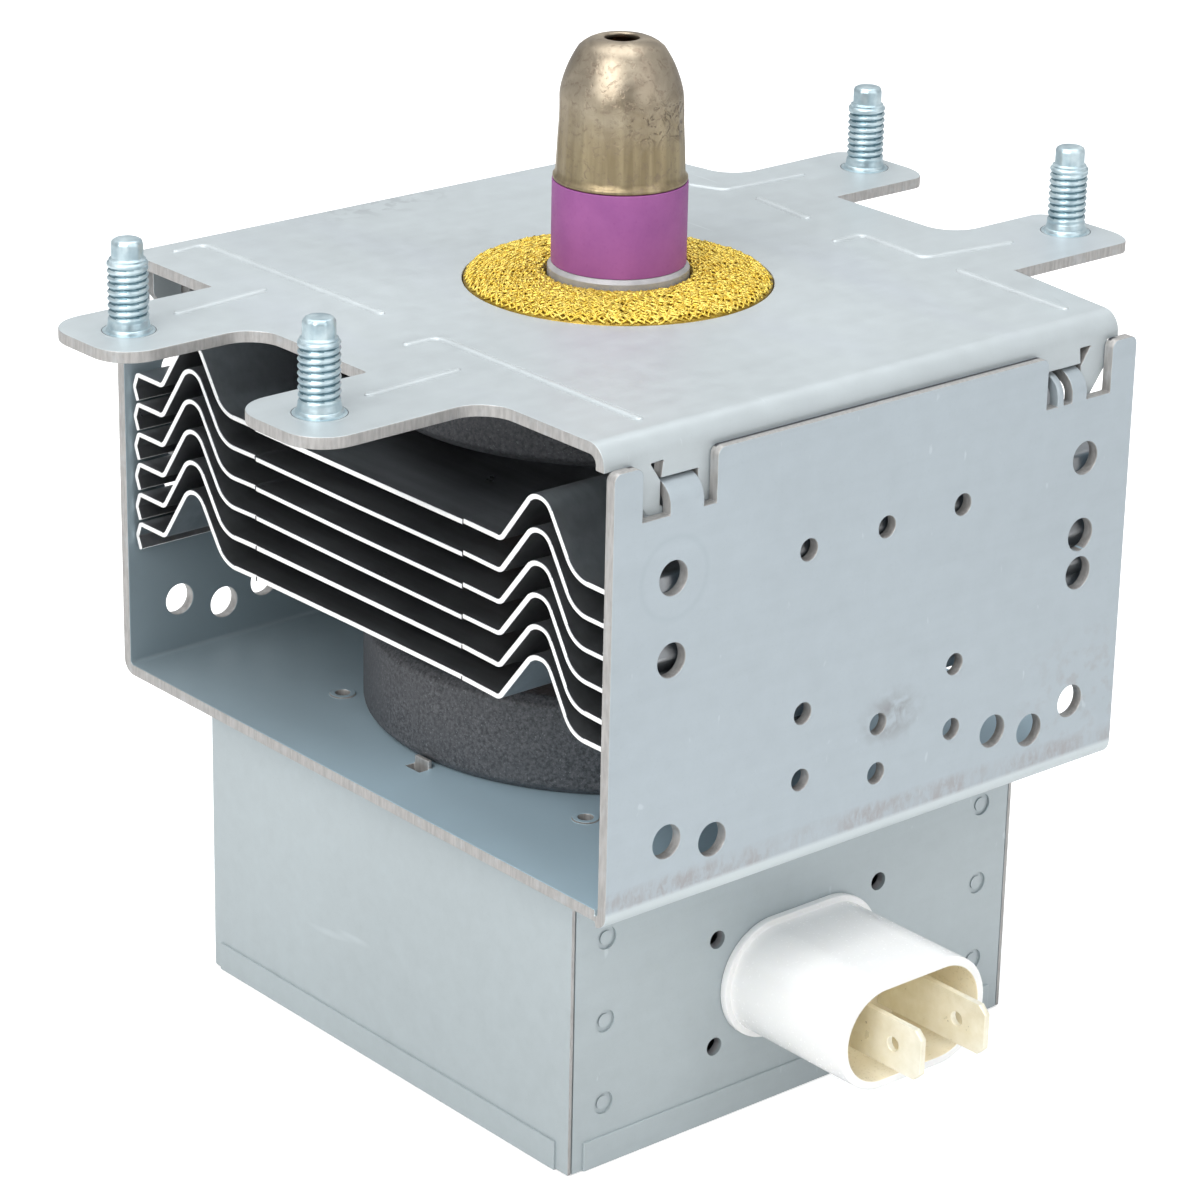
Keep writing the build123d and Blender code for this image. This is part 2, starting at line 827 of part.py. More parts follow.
with BuildPart() as cathode_filament:
    with BuildLine() as filament_path:
        Helix(
            pitch=filament_height / filament_turns,
            height=filament_height,
            radius=filament_radius,
            center=(0, 0, lower_hat_top + filament_wire),
        )
    with BuildSketch(Plane(origin=filament_path.line @ 0, z_dir=filament_path.line % 0)):
        RegularPolygon(filament_wire, 6)
    sweep(path=filament_path.line, is_frenet=True)

cathode_filament.part.label = "cathode_filament"
export_step(cathode_filament.part, "parts/cathode_filament.step")

stem_top = -yoke_height - stem_seat_drop - seal_sheet
stem_bottom = stem_top - stem_height
spread_top = floor_top + lead_spread_top
spread_foot = floor_top + lead_spread_foot
lead_routes = {
    "centre_lead": [
        (0, 0, upper_hat_bottom),
        (0, 0, spread_top),
        (connector_offset, 0, spread_foot),
        (connector_offset, 0, stem_bottom),
    ],
    "side_lead": [
        (-side_lead_offset, 0, lower_hat_top - hat_thickness),
        (-side_lead_offset, 0, spread_top),
        (-connector_offset, 0, spread_foot),
        (-connector_offset, 0, stem_bottom),
    ],
}
for node, route in lead_routes.items():
    with BuildPart() as lead:
        with BuildLine() as lead_path:
            FilletPolyline(*route, radius=lead_bend)
        with BuildSketch(Plane(origin=route[0], z_dir=(0, 0, -1))):
            Circle(lead_radius)
        sweep(path=lead_path.line)
    lead.part.label = node
    export_step(lead.part, f"parts/{node}.step")


# Seal cups: drawn metal sleeves that carry the antenna ceramic and the stem
upper_flange_top = upper_magnet_bottom
with BuildPart() as upper_seal_cup:
    with BuildSketch(Plane.XZ):
        with BuildLine():
            Polyline(
                (seal_flange_radius, upper_flange_top - seal_sheet),
                (seal_flange_radius, upper_flange_top),
                (seal_body_radius, upper_flange_top),
                (seal_body_radius, -seal_neck_drop),
                (seal_neck_radius, -seal_neck_drop + seal_sheet),
                (seal_neck_radius, ceramic_bottom - seal_sheet),
                (ceramic_radius, ceramic_bottom),
                (seal_lip_radius, ceramic_bottom),
                (seal_lip_radius, ceramic_bottom - seal_sheet),
                (seal_neck_radius - seal_sheet, ceramic_bottom - seal_sheet),
                (seal_neck_radius - seal_sheet, -seal_neck_drop),
                (seal_body_radius - seal_sheet, -seal_neck_drop - seal_sheet),
                (seal_body_radius - seal_sheet, upper_flange_top - seal_sheet),
                close=True,
            )
        make_face()
    revolve(axis=Axis.Z)

upper_seal_cup.part.label = "upper_seal_cup"
export_step(upper_seal_cup.part, "parts/upper_seal_cup.step")

with BuildPart() as lower_seal_cup:
    with BuildSketch(Plane.XZ):
        with BuildLine():
            Polyline(
                (seal_flange_radius, lower_magnet_top + seal_sheet),
                (seal_flange_radius, lower_magnet_top),
                (lower_seal_radius, lower_magnet_top),
                (lower_seal_radius, stem_top),
                (seal_lip_radius, stem_top),
                (seal_lip_radius, stem_top + seal_sheet),
                (lower_seal_radius - seal_sheet, stem_top + seal_sheet),
                (lower_seal_radius - seal_sheet, lower_magnet_top + seal_sheet),
                close=True,
            )
        make_face()
    revolve(axis=Axis.Z)

lower_seal_cup.part.label = "lower_seal_cup"
export_step(lower_seal_cup.part, "parts/lower_seal_cup.step")

# Stem: ceramic disc with the two leads through it, and a terminal disc under each
with BuildPart() as stem_ceramic:
    with BuildSketch(Plane.XY.offset(stem_bottom)):
        Circle(stem_radius)
        with GridLocations(lead_spacing, 1, 2, 1):
            Circle(lead_radius + lead_gap, mode=Mode.SUBTRACT)
    extrude(amount=stem_height)

stem_ceramic.part.label = "stem_ceramic"
export_step(stem_ceramic.part, "parts/stem_ceramic.step")

for number, way in ((1, -1), (2, 1)):
    with BuildPart() as stem_terminal:
        with BuildSketch(Plane.XY.offset(stem_bottom - terminal_disc_height)):
            with Locations((way * connector_offset, 0)):
                Circle(terminal_disc_radius)
        extrude(amount=terminal_disc_height)
    stem_terminal.part.label = f"stem_terminal_{number}"
    export_step(stem_terminal.part, f"parts/stem_terminal_{number}.step")


# Antenna: ceramic sleeve, exhaust tube, lead and cap
ceramic_top = ceramic_bottom + ceramic_height
cap_bottom = ceramic_top + cap_gap
cap_top = cap_bottom + cap_height

with BuildPart() as antenna_ceramic:
    with BuildSketch(Plane.XY.offset(ceramic_bottom)):
        Circle(ceramic_radius)
        Circle(ceramic_bore, mode=Mode.SUBTRACT)
    extrude(amount=ceramic_height)

antenna_ceramic.part.label = "antenna_ceramic"
export_step(antenna_ceramic.part, "parts/antenna_ceramic.step")

exhaust_top = ceramic_top + exhaust_height
with BuildPart() as exhaust_tube:
    with BuildSketch(Plane.XZ):
        with BuildLine():
            Polyline(
                (exhaust_radius - exhaust_wall, ceramic_top),
                (cap_skirt_radius - cap_wall - cap_gap, ceramic_top),
                (cap_skirt_radius - cap_wall - cap_gap, ceramic_top + exhaust_flange),
                (exhaust_radius, ceramic_top + exhaust_flange),
                (exhaust_radius, exhaust_top - exhaust_radius),
                (exhaust_wall, exhaust_top),
                (0, exhaust_top),
                (0, exhaust_top - 2 * exhaust_wall),
                (exhaust_radius - exhaust_wall, exhaust_top - exhaust_radius - exhaust_wall),
                close=True,
            )
        make_face()
    revolve(axis=Axis.Z)

exhaust_tube.part.label = "exhaust_tube"
export_step(exhaust_tube.part, "parts/exhaust_tube.step")

with BuildPart() as antenna_lead:
    with BuildLine() as antenna_path:
        FilletPolyline(
            (antenna_lead_offset, 0, vane_top),
            (antenna_lead_offset, 0, rim_face - antenna_knee_drop),
            (0, 0, -antenna_join_drop),
            (0, 0, exhaust_top - 3 * exhaust_wall),
            radius=antenna_bend,
        )
    with BuildSketch(Plane(origin=(antenna_lead_offset, 0, vane_top), z_dir=(0, 0, 1))):
        Circle(antenna_lead_radius)
    sweep(path=antenna_path.line)

antenna_lead.part.label = "antenna_lead"
export_step(antenna_lead.part, "parts/antenna_lead.step")

# The cap is drawn from thin sheet: rim, flared skirt, body, ogive dome and a hole in the crown
cap_body_top = cap_bottom + cap_body_height
with BuildPart() as antenna_cap:
    with BuildSketch(Plane.XZ):
        with BuildLine():
            Polyline(
                (0, cap_bottom),
                (cap_rim_radius, cap_bottom),
                (cap_rim_radius, cap_bottom + cap_rim_height),
                (cap_skirt_radius, cap_bottom + 2 * cap_rim_height),
                (cap_step[0], cap_bottom + cap_step[1]),
                (cap_body_radius, cap_bottom + cap_body_start),
                (cap_body_radius, cap_body_top),
            )
            ThreePointArc(
                (cap_body_radius, cap_body_top),
                (cap_cheek[0], cap_bottom + cap_cheek[1]),
                (cap_shoulder[0], cap_bottom + cap_shoulder[1]),
            )
            ThreePointArc(
                (cap_shoulder[0], cap_bottom + cap_shoulder[1]),
                (cap_brow[0], cap_bottom + cap_brow[1]),
                (cap_crown_radius, cap_top),
            )
            Polyline((cap_crown_radius, cap_top), (0, cap_top), (0, cap_bottom))
        make_face()
        # Hollow at the sheet's thickness inside
        with BuildLine():
            Polyline(
                (0, cap_bottom - cap_wall),
                (cap_skirt_radius - cap_wall, cap_bottom - cap_wall),
                (cap_skirt_radius - cap_wall, cap_bottom + 2 * cap_rim_height),
                (cap_step[0] - cap_wall, cap_bottom + cap_step[1]),
                (cap_body_radius - cap_wall, cap_bottom + cap_body_start),
                (cap_body_radius - cap_wall, cap_body_top),
            )
            ThreePointArc(
                (cap_body_radius - cap_wall, cap_body_top),
                (cap_shoulder[0] - cap_wall, cap_bottom + cap_shoulder[1] - cap_wall / 2),
                (cap_crown_radius, cap_top - cap_wall),
            )
            Polyline(
                (cap_crown_radius, cap_top - cap_wall),
                (0, cap_top - cap_wall),
                (0, cap_bottom - cap_wall),
            )
        make_face(mode=Mode.SUBTRACT)
        with Locations((0, cap_top)):
            Rectangle(2 * cap_hole_radius, 4 * cap_wall, mode=Mode.SUBTRACT)
    revolve(axis=Axis.Z)

antenna_cap.part.label = "antenna_cap"
export_step(antenna_cap.part, "parts/antenna_cap.step")


# Filter box body: folded shell, open below and towards the connector panel
half_box = box_size / 2
with BuildPart() as filter_box_body:
    with BuildSketch(Plane.XY.offset(box_top)):
        Rectangle(box_size, box_size)
    extrude(amount=-box_height + lid_sheet)
    fillet(filter_box_body.edges().filter_by(Axis.Z).group_by(Axis.Y)[-1], box_corner)
    offset(
        amount=-box_sheet,
        openings=[
            filter_box_body.faces().sort_by(Axis.Z)[0],
            filter_box_body.faces().sort_by(Axis.Y)[0],
        ],
    )
    # Flanges behind the panel
    flange_middle = half_box - box_sheet - box_flange_width / 2
    with BuildSketch(Plane.XY.offset(box_top - box_sheet)):
        with Locations((0, -half_box + box_sheet + box_sheet / 2)):
            with GridLocations(2 * flange_middle, 1, 2, 1):
                Rectangle(box_flange_width, box_sheet)
    extrude(amount=-box_height + lid_sheet + box_sheet)
    with BuildSketch(Plane.XY.offset(box_top)):
        Circle(lower_seal_radius + box_stem_gap)
    extrude(amount=-box_sheet, mode=Mode.SUBTRACT)

filter_box_body.part.label = "filter_box_body"
export_step(filter_box_body.part, "parts/filter_box_body.step")

# Connector panel, flush between the side walls, clinched to the flanges by two columns of dimples
panel_plane = Plane(origin=(0, -panel_outer, 0), x_dir=(1, 0, 0), z_dir=(0, -1, 0))
panel_width = box_size - 2 * (box_sheet + panel_gap)
panel_height = box_height - box_sheet - lid_sheet
with BuildPart() as filter_box_panel:
    with BuildSketch(panel_plane):
        with Locations((0, box_top - box_sheet - panel_height / 2)):
            Rectangle(panel_width, panel_height)
        with Locations((0, connector_height)):
            SlotCenterToCenter(
                2 * connector_half_run,
                2 * (connector_neck_radius + panel_slot_gap),
                mode=Mode.SUBTRACT,
            )
            with GridLocations(panel_hole_spacing_x, panel_hole_spacing_z, 2, 2):
                Circle(panel_hole_radius, mode=Mode.SUBTRACT)
    extrude(amount=-box_sheet)
    # Each dimple is a round well with a low button in it
    dimple_middle = box_top - dimple_top - dimple_spacing_z * (dimple_rows - 1) / 2
    with BuildSketch(panel_plane):
        with Locations((0, dimple_middle)):
            with GridLocations(dimple_spacing_x, dimple_spacing_z, 2, dimple_rows):
                Circle(dimple_radius)
                Circle(dimple_button_radius, mode=Mode.SUBTRACT)
    extrude(amount=-dimple_depth, mode=Mode.SUBTRACT)
    with BuildSketch(panel_plane):
        with Locations((0, dimple_middle)):
            with GridLocations(dimple_spacing_x, dimple_spacing_z, 2, dimple_rows):
                Circle(dimple_button_radius)
    extrude(amount=-dimple_button_drop, mode=Mode.SUBTRACT)

filter_box_panel.part.label = "filter_box_panel"
export_step(filter_box_panel.part, "parts/filter_box_panel.step")

# Lid: shallow tray whose four flanges grip the body and the panel from outside
lid_size = box_size + 2 * lid_sheet
lid_gap_size = 2 * (lid_sheet + lid_flange_stop)
with BuildPart() as filter_box_lid:
    with BuildSketch(Plane.XY.offset(box_bottom)):
        Rectangle(lid_size, lid_size)
    extrude(amount=lid_flange_height)
    fillet(filter_box_lid.faces().sort_by(Axis.Z)[0].edges(), lid_corner)
    with BuildSketch(Plane.XY.offset(box_bottom + lid_sheet)):
        Rectangle(box_size, box_size)
    extrude(amount=lid_flange_height, mode=Mode.SUBTRACT)
    # Open corners between the flanges
    with BuildSketch(Plane.XY.offset(box_bottom + lid_sheet)):
        with GridLocations(lid_size, lid_size, 2, 2):
            Rectangle(lid_gap_size, lid_gap_size)
    extrude(amount=lid_flange_height, mode=Mode.SUBTRACT)

filter_box_lid.part.label = "filter_box_lid"
export_step(filter_box_lid.part, "parts/filter_box_lid.step")


# Connector housing: stadium tube with a foot flange, a potted floor and a neck through the panel
connector_plane = Plane(origin=(0, -panel_outer, connector_height), x_dir=(1, 0, 0), z_dir=(0, -1, 0))
neck_length = box_sheet + ground_plate_sheet
with BuildPart() as connector_housing:
    with BuildSketch(connector_plane):
        SlotCenterToCenter(2 * connector_half_run, 2 * connector_radius)
    extrude(amount=connector_reach)
    fillet(connector_housing.faces().sort_by(Axis.Y)[0].edges(), connector_edge)
    with BuildSketch(connector_plane):
        SlotCenterToCenter(2 * connector_half_run, 2 * (connector_radius + connector_flange))
    extrude(amount=connector_flange_height)
    with BuildSketch(connector_plane):
        SlotCenterToCenter(2 * connector_half_run, 2 * connector_neck_radius)
    extrude(amount=-neck_length)
    with BuildSketch(connector_plane.offset(connector_reach)):
        SlotCenterToCenter(2 * connector_half_run, 2 * (connector_radius - connector_wall))
    extrude(amount=-(connector_reach - connector_floor), mode=Mode.SUBTRACT)
    with BuildSketch(connector_plane.offset(connector_floor)):
        with GridLocations(blade_spacing, 1, 2, 1):
            Rectangle(blade_sheet + 2 * blade_gap, blade_tail_width + 2 * blade_gap)
    extrude(amount=-connector_floor - neck_length, mode=Mode.SUBTRACT)

connector_housing.part.label = "connector_housing"
export_step(connector_housing.part, "parts/connector_housing.step")

# Ground plate of the feed-through capacitor, inside the panel
with BuildPart() as capacitor_plate:
    with BuildSketch(connector_plane.offset(-box_sheet)):
        RectangleRounded(ground_plate_width, ground_plate_height, ground_plate_corner)
        SlotCenterToCenter(
            2 * connector_half_run,
            2 * (connector_neck_radius + panel_slot_gap),
            mode=Mode.SUBTRACT,
        )
        with GridLocations(panel_hole_spacing_x, panel_hole_spacing_z, 2, 2):
            Circle(panel_hole_radius, mode=Mode.SUBTRACT)
    extrude(amount=-ground_plate_sheet)

capacitor_plate.part.label = "capacitor_plate"
export_step(capacitor_plate.part, "parts/capacitor_plate.step")

# Ceramic capacitor block behind the plate
with BuildPart() as capacitor_block:
    with BuildSketch(connector_plane.offset(-neck_length)):
        SlotCenterToCenter(2 * connector_half_run, 2 * capacitor_radius)
        with GridLocations(blade_spacing, 1, 2, 1):
            Rectangle(
                blade_sheet + 2 * blade_gap,
                blade_tail_width + 2 * blade_gap,
                mode=Mode.SUBTRACT,
            )
    extrude(amount=-capacitor_length)

capacitor_block.part.label = "capacitor_block"
export_step(capacitor_block.part, "parts/capacitor_block.step")

# Terminal blades: flat push-on tabs whose tails pass through the floor and the capacitor
blade_reach = connector_reach + blade_overhang
tail_reach = neck_length + capacitor_length + blade_tail_overhang
for number, way in ((1, -1), (2, 1)):
    side_plane = Plane(
        origin=(way * blade_spacing / 2, -panel_outer, connector_height),
        x_dir=(0, -1, 0),
        z_dir=(1, 0, 0),
    )
    with BuildPart() as terminal_blade:
        with BuildSketch(side_plane):
            with Locations(((blade_reach + connector_floor) / 2, 0)):
                Rectangle(blade_reach - connector_floor, blade_width)
            chamfer(vertices().group_by(Axis.X)[-1], blade_chamfer)
            with Locations(((connector_floor - tail_reach) / 2, 0)):
                Rectangle(connector_floor + tail_reach, blade_tail_width)
            with Locations((blade_reach - blade_hole_inset, 0)):
                Circle(blade_hole_radius, mode=Mode.SUBTRACT)
        extrude(amount=blade_sheet / 2, both=True)
    terminal_blade.part.label = f"terminal_blade_{number}"
    export_step(terminal_blade.part, f"parts/terminal_blade_{number}.step")


# Choke coils and their ferrite rods, between the stem and the capacitor
tail_end = -panel_outer + tail_reach
coil_start = 0.0
coil_stop = tail_end + coil_tail
coil_length = coil_start - coil_stop
coil_pitch = coil_length / coil_turns
terminal_face = stem_bottom - terminal_disc_height
for number, way in ((1, -1), (2, 1)):
    coil_axis_x = way * (connector_offset + coil_radius)
    coil_plane = Plane(
        origin=(coil_axis_x, coil_start, connector_height),
        x_dir=(-way, 0, 0),
        z_dir=(0, -1, 0),
    )
    with BuildPart() as winding:
        with BuildLine() as winding_path:
            Helix(pitch=coil_pitch, height=coil_length, radius=coil_radius, lefthand=way > 0)
        with BuildSketch(Plane(origin=winding_path.line @ 0, z_dir=winding_path.line % 0)):
            RegularPolygon(coil_wire, 6)
        sweep(path=winding_path.line, is_frenet=True)
    with BuildPart() as choke_coil:
        with Locations(coil_plane.location):
            add(winding.part)
        # Leads to the stem terminal and to the blade's tail
        with Locations((way * connector_offset, coil_start, connector_height)):
            Sphere(coil_wire)
        with Locations((way * connector_offset, coil_stop, connector_height)):
            Sphere(coil_wire)
        with BuildSketch(Plane.XY.offset(connector_height)):
            with Locations((way * connector_offset, coil_start)):
                Circle(coil_wire)
        extrude(amount=terminal_face - connector_height)
        with BuildSketch(Plane.XZ.offset(-coil_stop)):
            with Locations((way * connector_offset, connector_height)):
                Circle(coil_wire)
        extrude(amount=coil_stop - tail_end)
    choke_coil.part.label = f"choke_coil_{number}"
    export_step(choke_coil.part, f"parts/choke_coil_{number}.step")

    with BuildPart() as ferrite_rod:
        with BuildSketch(Plane.XZ.offset(-coil_start - ferrite_overhang)):
            with Locations((coil_axis_x, connector_height)):
                Circle(ferrite_radius)
        extrude(amount=coil_length + 2 * ferrite_overhang)
    ferrite_rod.part.label = f"ferrite_rod_{number}"
    export_step(ferrite_rod.part, f"parts/ferrite_rod_{number}.step")
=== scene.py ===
import json
import random
from math import cos, pi, radians, sin, sqrt, tau

import bmesh
import bpy
from mathutils import Matrix, Vector, noise
from mathutils.bvhtree import BVHTree


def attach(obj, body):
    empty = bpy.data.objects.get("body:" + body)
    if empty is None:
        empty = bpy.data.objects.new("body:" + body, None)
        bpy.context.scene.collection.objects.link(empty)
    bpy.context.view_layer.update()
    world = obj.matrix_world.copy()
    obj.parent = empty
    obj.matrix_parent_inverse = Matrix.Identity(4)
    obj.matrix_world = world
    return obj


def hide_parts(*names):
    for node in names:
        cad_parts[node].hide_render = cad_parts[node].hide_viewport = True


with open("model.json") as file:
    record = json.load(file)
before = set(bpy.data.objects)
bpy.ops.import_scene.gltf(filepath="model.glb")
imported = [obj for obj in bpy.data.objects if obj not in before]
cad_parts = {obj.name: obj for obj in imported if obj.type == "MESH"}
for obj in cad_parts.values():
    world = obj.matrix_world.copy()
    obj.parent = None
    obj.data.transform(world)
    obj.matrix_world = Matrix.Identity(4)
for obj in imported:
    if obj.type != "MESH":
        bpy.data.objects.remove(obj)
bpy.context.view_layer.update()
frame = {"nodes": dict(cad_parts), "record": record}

MM = 0.001

# Sizes shared with the solids, in millimetres
YOKE_SHEET = 1.4
YOKE_HALF_WIDTH = 46.25
BOX_SHEET = 0.5
FIN_SHEET = 0.6
WALL_TOP = 2.8
STUD_X = 57.1
STUD_Y = 17.9
STUD_CORNERS = ((1, 1), (-1, 1), (-1, -1), (1, -1))
GASKET_RADIUS = 18.25
GASKET_BORE = 8.75
BOX_HALF = 35.1
LID_BOTTOM = -92.6
LID_TOP = -88.9
FIN_COUNT = 6


# Shader graphs

class Graph:
    """A node material: a Principled shader and short calls for the nodes that feed it."""

    def __init__(self, name, metallic=0.0, roughness=0.5):
        self.material = bpy.data.materials.new(name)
        self.material.use_nodes = True
        self.tree = self.material.node_tree
        self.tree.nodes.clear()
        output = self.node("ShaderNodeOutputMaterial")
        self.shader = self.node("ShaderNodeBsdfPrincipled")
        self.link(self.shader.outputs[0], output.inputs[0])
        self.place = self.node("ShaderNodeTexCoord").outputs["Object"]
        self.set("Metallic", metallic)
        self.set("Roughness", roughness)

    def node(self, kind):
        return self.tree.nodes.new(kind)

    def link(self, source, target):
        self.tree.links.new(source, target)

    def put(self, socket, value):
        if hasattr(value, "is_output"):
            self.link(value, socket)
        elif isinstance(value, (tuple, list)) and len(value) == 3 and socket.type == "RGBA":
            socket.default_value = (*value, 1.0)
        else:
            socket.default_value = value

    def set(self, name, value):
        self.put(self.shader.inputs[name], value)

    def stretched(self, scale, turn=(0, 0, 0)):
        """Coordinates for a texture that is drawn out along an axis where scale is small."""
        mapping = self.node("ShaderNodeMapping")
        self.link(self.place, mapping.inputs["Vector"])
        mapping.inputs["Scale"].default_value = scale
        mapping.inputs["Rotation"].default_value = turn
        return mapping.outputs[0]

    def noise(self, scale, detail=3.0, roughness=0.5, vector=None, warp=0.0):
        made = self.node("ShaderNodeTexNoise")
        self.link(vector or self.place, made.inputs["Vector"])
        made.inputs["Scale"].default_value = scale
        made.inputs["Detail"].default_value = detail
        made.inputs["Roughness"].default_value = roughness
        made.inputs["Distortion"].default_value = warp
        return made.outputs["Fac"]

    def math(self, operation, a, b=0.0, c=0.0, clamp=False):
        """A math node; a, b and c are numbers or sockets."""
        made = self.node("ShaderNodeMath")
        made.operation = operation
        made.use_clamp = clamp
        for socket, value in zip(made.inputs, (a, b, c)):
            self.put(socket, value)
        return made.outputs[0]

    def times(self, a, b):
        return self.math("MULTIPLY", a, b)

    def span(self, value, low, high, out_low=0.0, out_high=1.0):
        """Clamped map from low..high to out_low..out_high."""
        made = self.node("ShaderNodeMapRange")
        made.clamp = True
        self.put(made.inputs["Value"], value)
        made.inputs["From Min"].default_value = low
        made.inputs["From Max"].default_value = high
        made.inputs["To Min"].default_value = out_low
        made.inputs["To Max"].default_value = out_high
        return made.outputs["Result"]

    def mix(self, amount, a, b):
        made = self.node("ShaderNodeMix")
        made.data_type = "RGBA"
        self.put(made.inputs[0], amount)
        self.put(made.inputs[6], a)
        self.put(made.inputs[7], b)
        return made.outputs[2]

    def axes(self):
        made = self.node("ShaderNodeSeparateXYZ")
        self.link(self.place, made.inputs[0])
        return made.outputs

    def spot(self, centre, radii, soft=0.5):
        """1 inside an ellipsoid round a point given in millimetres, falling to 0 outside it."""
        mapping = self.node("ShaderNodeMapping")
        mapping.vector_type = "TEXTURE"
        self.link(self.place, mapping.inputs["Vector"])
        mapping.inputs["Location"].default_value = [c * MM for c in centre]
        mapping.inputs["Scale"].default_value = [r * MM for r in radii]
        length = self.node("ShaderNodeVectorMath")
        length.operation = "LENGTH"
        self.link(mapping.outputs[0], length.inputs[0])
        return self.span(length.outputs["Value"], 1.0 - soft, 1.0 + soft, 1.0, 0.0)

    def bump(self, height, depth_mm):
        made = self.node("ShaderNodeBump")
        made.inputs["Distance"].default_value = depth_mm * MM
        self.put(made.inputs["Height"], height)
        return made.outputs[0]


def shaded(tint, factor):
    return [c * factor for c in tint]


def zinc(name, tint=(0.505, 0.555, 0.575), scuffs=(), inside=None):
    """Satin zinc plating: faint cloudy tone, fine grain, rolling lines and a few small scratches.

    Scuffs are (mask, tone) pairs. Inside is two tones of painted shade inside the yoke, at its near
    and its far wall.
    """
    g = Graph(name, metallic=0.38)
    cloud = g.noise(24, 3, 0.5, warp=0.4)
    mottle = g.noise(340, 4, 0.6)
    grain = g.noise(3600, 2, 0.6)
    roll = g.noise(800, 2, 0.5, g.stretched((0.05, 1.0, 1.0)))
    tone = g.math("MULTIPLY_ADD", cloud, 0.5, g.times(mottle, 0.35))
    tone = g.math("MULTIPLY_ADD", roll, 0.15, tone)
    colour = g.mix(g.span(tone, 0.34, 0.66), shaded(tint, 0.93), shaded(tint, 1.06))
    colour = g.mix(g.span(grain, 0.6, 0.75, 0.0, 0.16), colour, shaded(tint, 0.74))
    scratch = g.noise(650, 2, 0.5, g.stretched((1.0, 0.05, 0.4), (0.3, 0.2, 0.8)), warp=0.3)
    colour = g.mix(g.span(scratch, 0.72, 0.77, 0.0, 0.22), colour, (0.80, 0.86, 0.89))
    # Painted shade inside the yoke, between its walls, above its floor and under the fins, darker
    # towards the far wall
    if inside:
        _, y, z = g.axes()
        between_walls = g.span(g.math("ABSOLUTE", y), 0.0462, 0.0458)
        above_underside = g.span(z, -0.0546, -0.0542)
        under_fins = g.span(z, -0.013, -0.016)
        yoke_inside_shade = g.times(g.times(between_walls, above_underside), under_fins)
        colour = g.mix(yoke_inside_shade, colour, g.mix(g.span(y, -0.005, 0.044), *inside))
    # Marks, and on the wall the lower bend's painted highlight
    for mask, mark_and_highlight_tone in scuffs:
        colour = g.mix(mask(g), colour, mark_and_highlight_tone)
    g.set("Base Color", colour)
    g.set("Roughness", g.span(g.math("ADD", cloud, mottle), 0.75, 1.25, 0.40, 0.50))
    relief = g.math("MULTIPLY_ADD", grain, 0.5, g.times(mottle, 0.5))
    g.set("Normal", g.bump(relief, 0.008))
    return g.material


def wall_marks_and_highlight():
    """Marks on the wall above the connector: a smudge, rubbing, a painted highlight on the lower
    bend, a ring and grime.
    """
    face = -YOKE_HALF_WIDTH

    def smudge(g):
        spot = g.spot((2.6, face, -41.0), (3.4, 1.0, 2.3), 0.7)
        return g.times(spot, g.span(g.noise(520, 3, warp=0.5), 0.38, 0.62, 0.0, 0.62))

    def rubbing(g):
        band = g.spot((0, face, -52.9), (60.0, 2.0, 1.5), 0.3)
        streaks = g.noise(1500, 4, 0.65, g.stretched((0.8, 1.0, 0.4), (0, 0.35, 0)), warp=0.4)
        patches = g.span(g.noise(120, 2), 0.36, 0.54, 0.25, 1.0)
        return g.times(band, g.times(g.span(streaks, 0.40, 0.62, 0.1, 0.6), patches))

    # Painted highlight: the near wall's lower bend is coloured paler
    def bend(g):
        _, y, z = g.axes()
        return g.times(g.span(z, -0.0535, -0.0540), g.span(y, -0.044, -0.0445))

    def ring(g):
        outer, inner = (
            g.spot((-31.1, face, -16.3), (radius, 3.0, radius), 0.05) for radius in (5.0, 4.4)
        )
        return g.times(g.math("SUBTRACT", outer, inner, clamp=True), 0.16)

    def grime(g):
        band = g.spot((34.0, face, -46.0), (8.0, 2.0, 6.0), 0.6)
        return g.times(band, g.span(g.noise(600, 3), 0.5, 0.66, 0.0, 0.35))

    warm = (0.34, 0.30, 0.30)
    return [
        (smudge, (0.20, 0.18, 0.18)), (rubbing, warm), (bend, (0.60, 0.66, 0.68)),
        (ring, (0.32, 0.38, 0.42)), (grime, warm),
    ]


def plate_scuffs():
    """Darker handling marks near the plate's bends."""

    def patch(g):
        spot = g.spot((-4.0, 41.0, 0.0), (9.0, 3.0, 2.0), 0.6)
        return g.times(spot, g.span(g.noise(500, 3, warp=0.5), 0.5, 0.62, 0.0, 0.3))

    def shade(g):
        return g.span(g.noise(60, 2, 0.5, g.stretched((1.0, 0.3, 1.0))), 0.56, 0.75, 0.0, 0.12)

    return [(patch, (0.24, 0.26, 0.28)), (shade, (0.44, 0.46, 0.60))]


def cut_edge(name, seam=False):
    """Sheared edge of plated sheet: warm grey, with lines across the sheet."""
    tint = (0.42, 0.41, 0.40)
    g = Graph(name, metallic=0.45, roughness=0.45)
    lines = g.noise(2600, 3, 0.6, g.stretched((1.0, 1.0, 0.15)))
    blots = g.noise(500, 3, 0.6)
    colour = g.mix(g.span(lines, 0.35, 0.65), shaded(tint, 0.84), shaded(tint, 1.12))
    colour = g.mix(g.span(blots, 0.52, 0.7, 0.0, 0.4), colour, (0.50, 0.53, 0.55))
    if seam:
        # Shade along the seam where the near wall's top meets the plate's flange
        x, y, z = g.axes()
        top = g.span(z, (-WALL_TOP - 0.25) * MM, (-WALL_TOP - 0.15) * MM)
        inner = g.span(y, (0.75 - YOKE_HALF_WIDTH) * MM, (0.95 - YOKE_HALF_WIDTH) * MM)
        near_wall = g.span(y, -0.0440, -0.0442)
        between_posts = g.span(g.math("ABSOLUTE", x), 0.0375, 0.037)
        shade = g.times(g.times(top, inner), g.times(between_posts, near_wall))
        colour = g.mix(shade, colour, (0.045, 0.045, 0.055))
    g.set("Base Color", colour)
    g.set("Normal", g.bump(lines, 0.015))
    return g.material


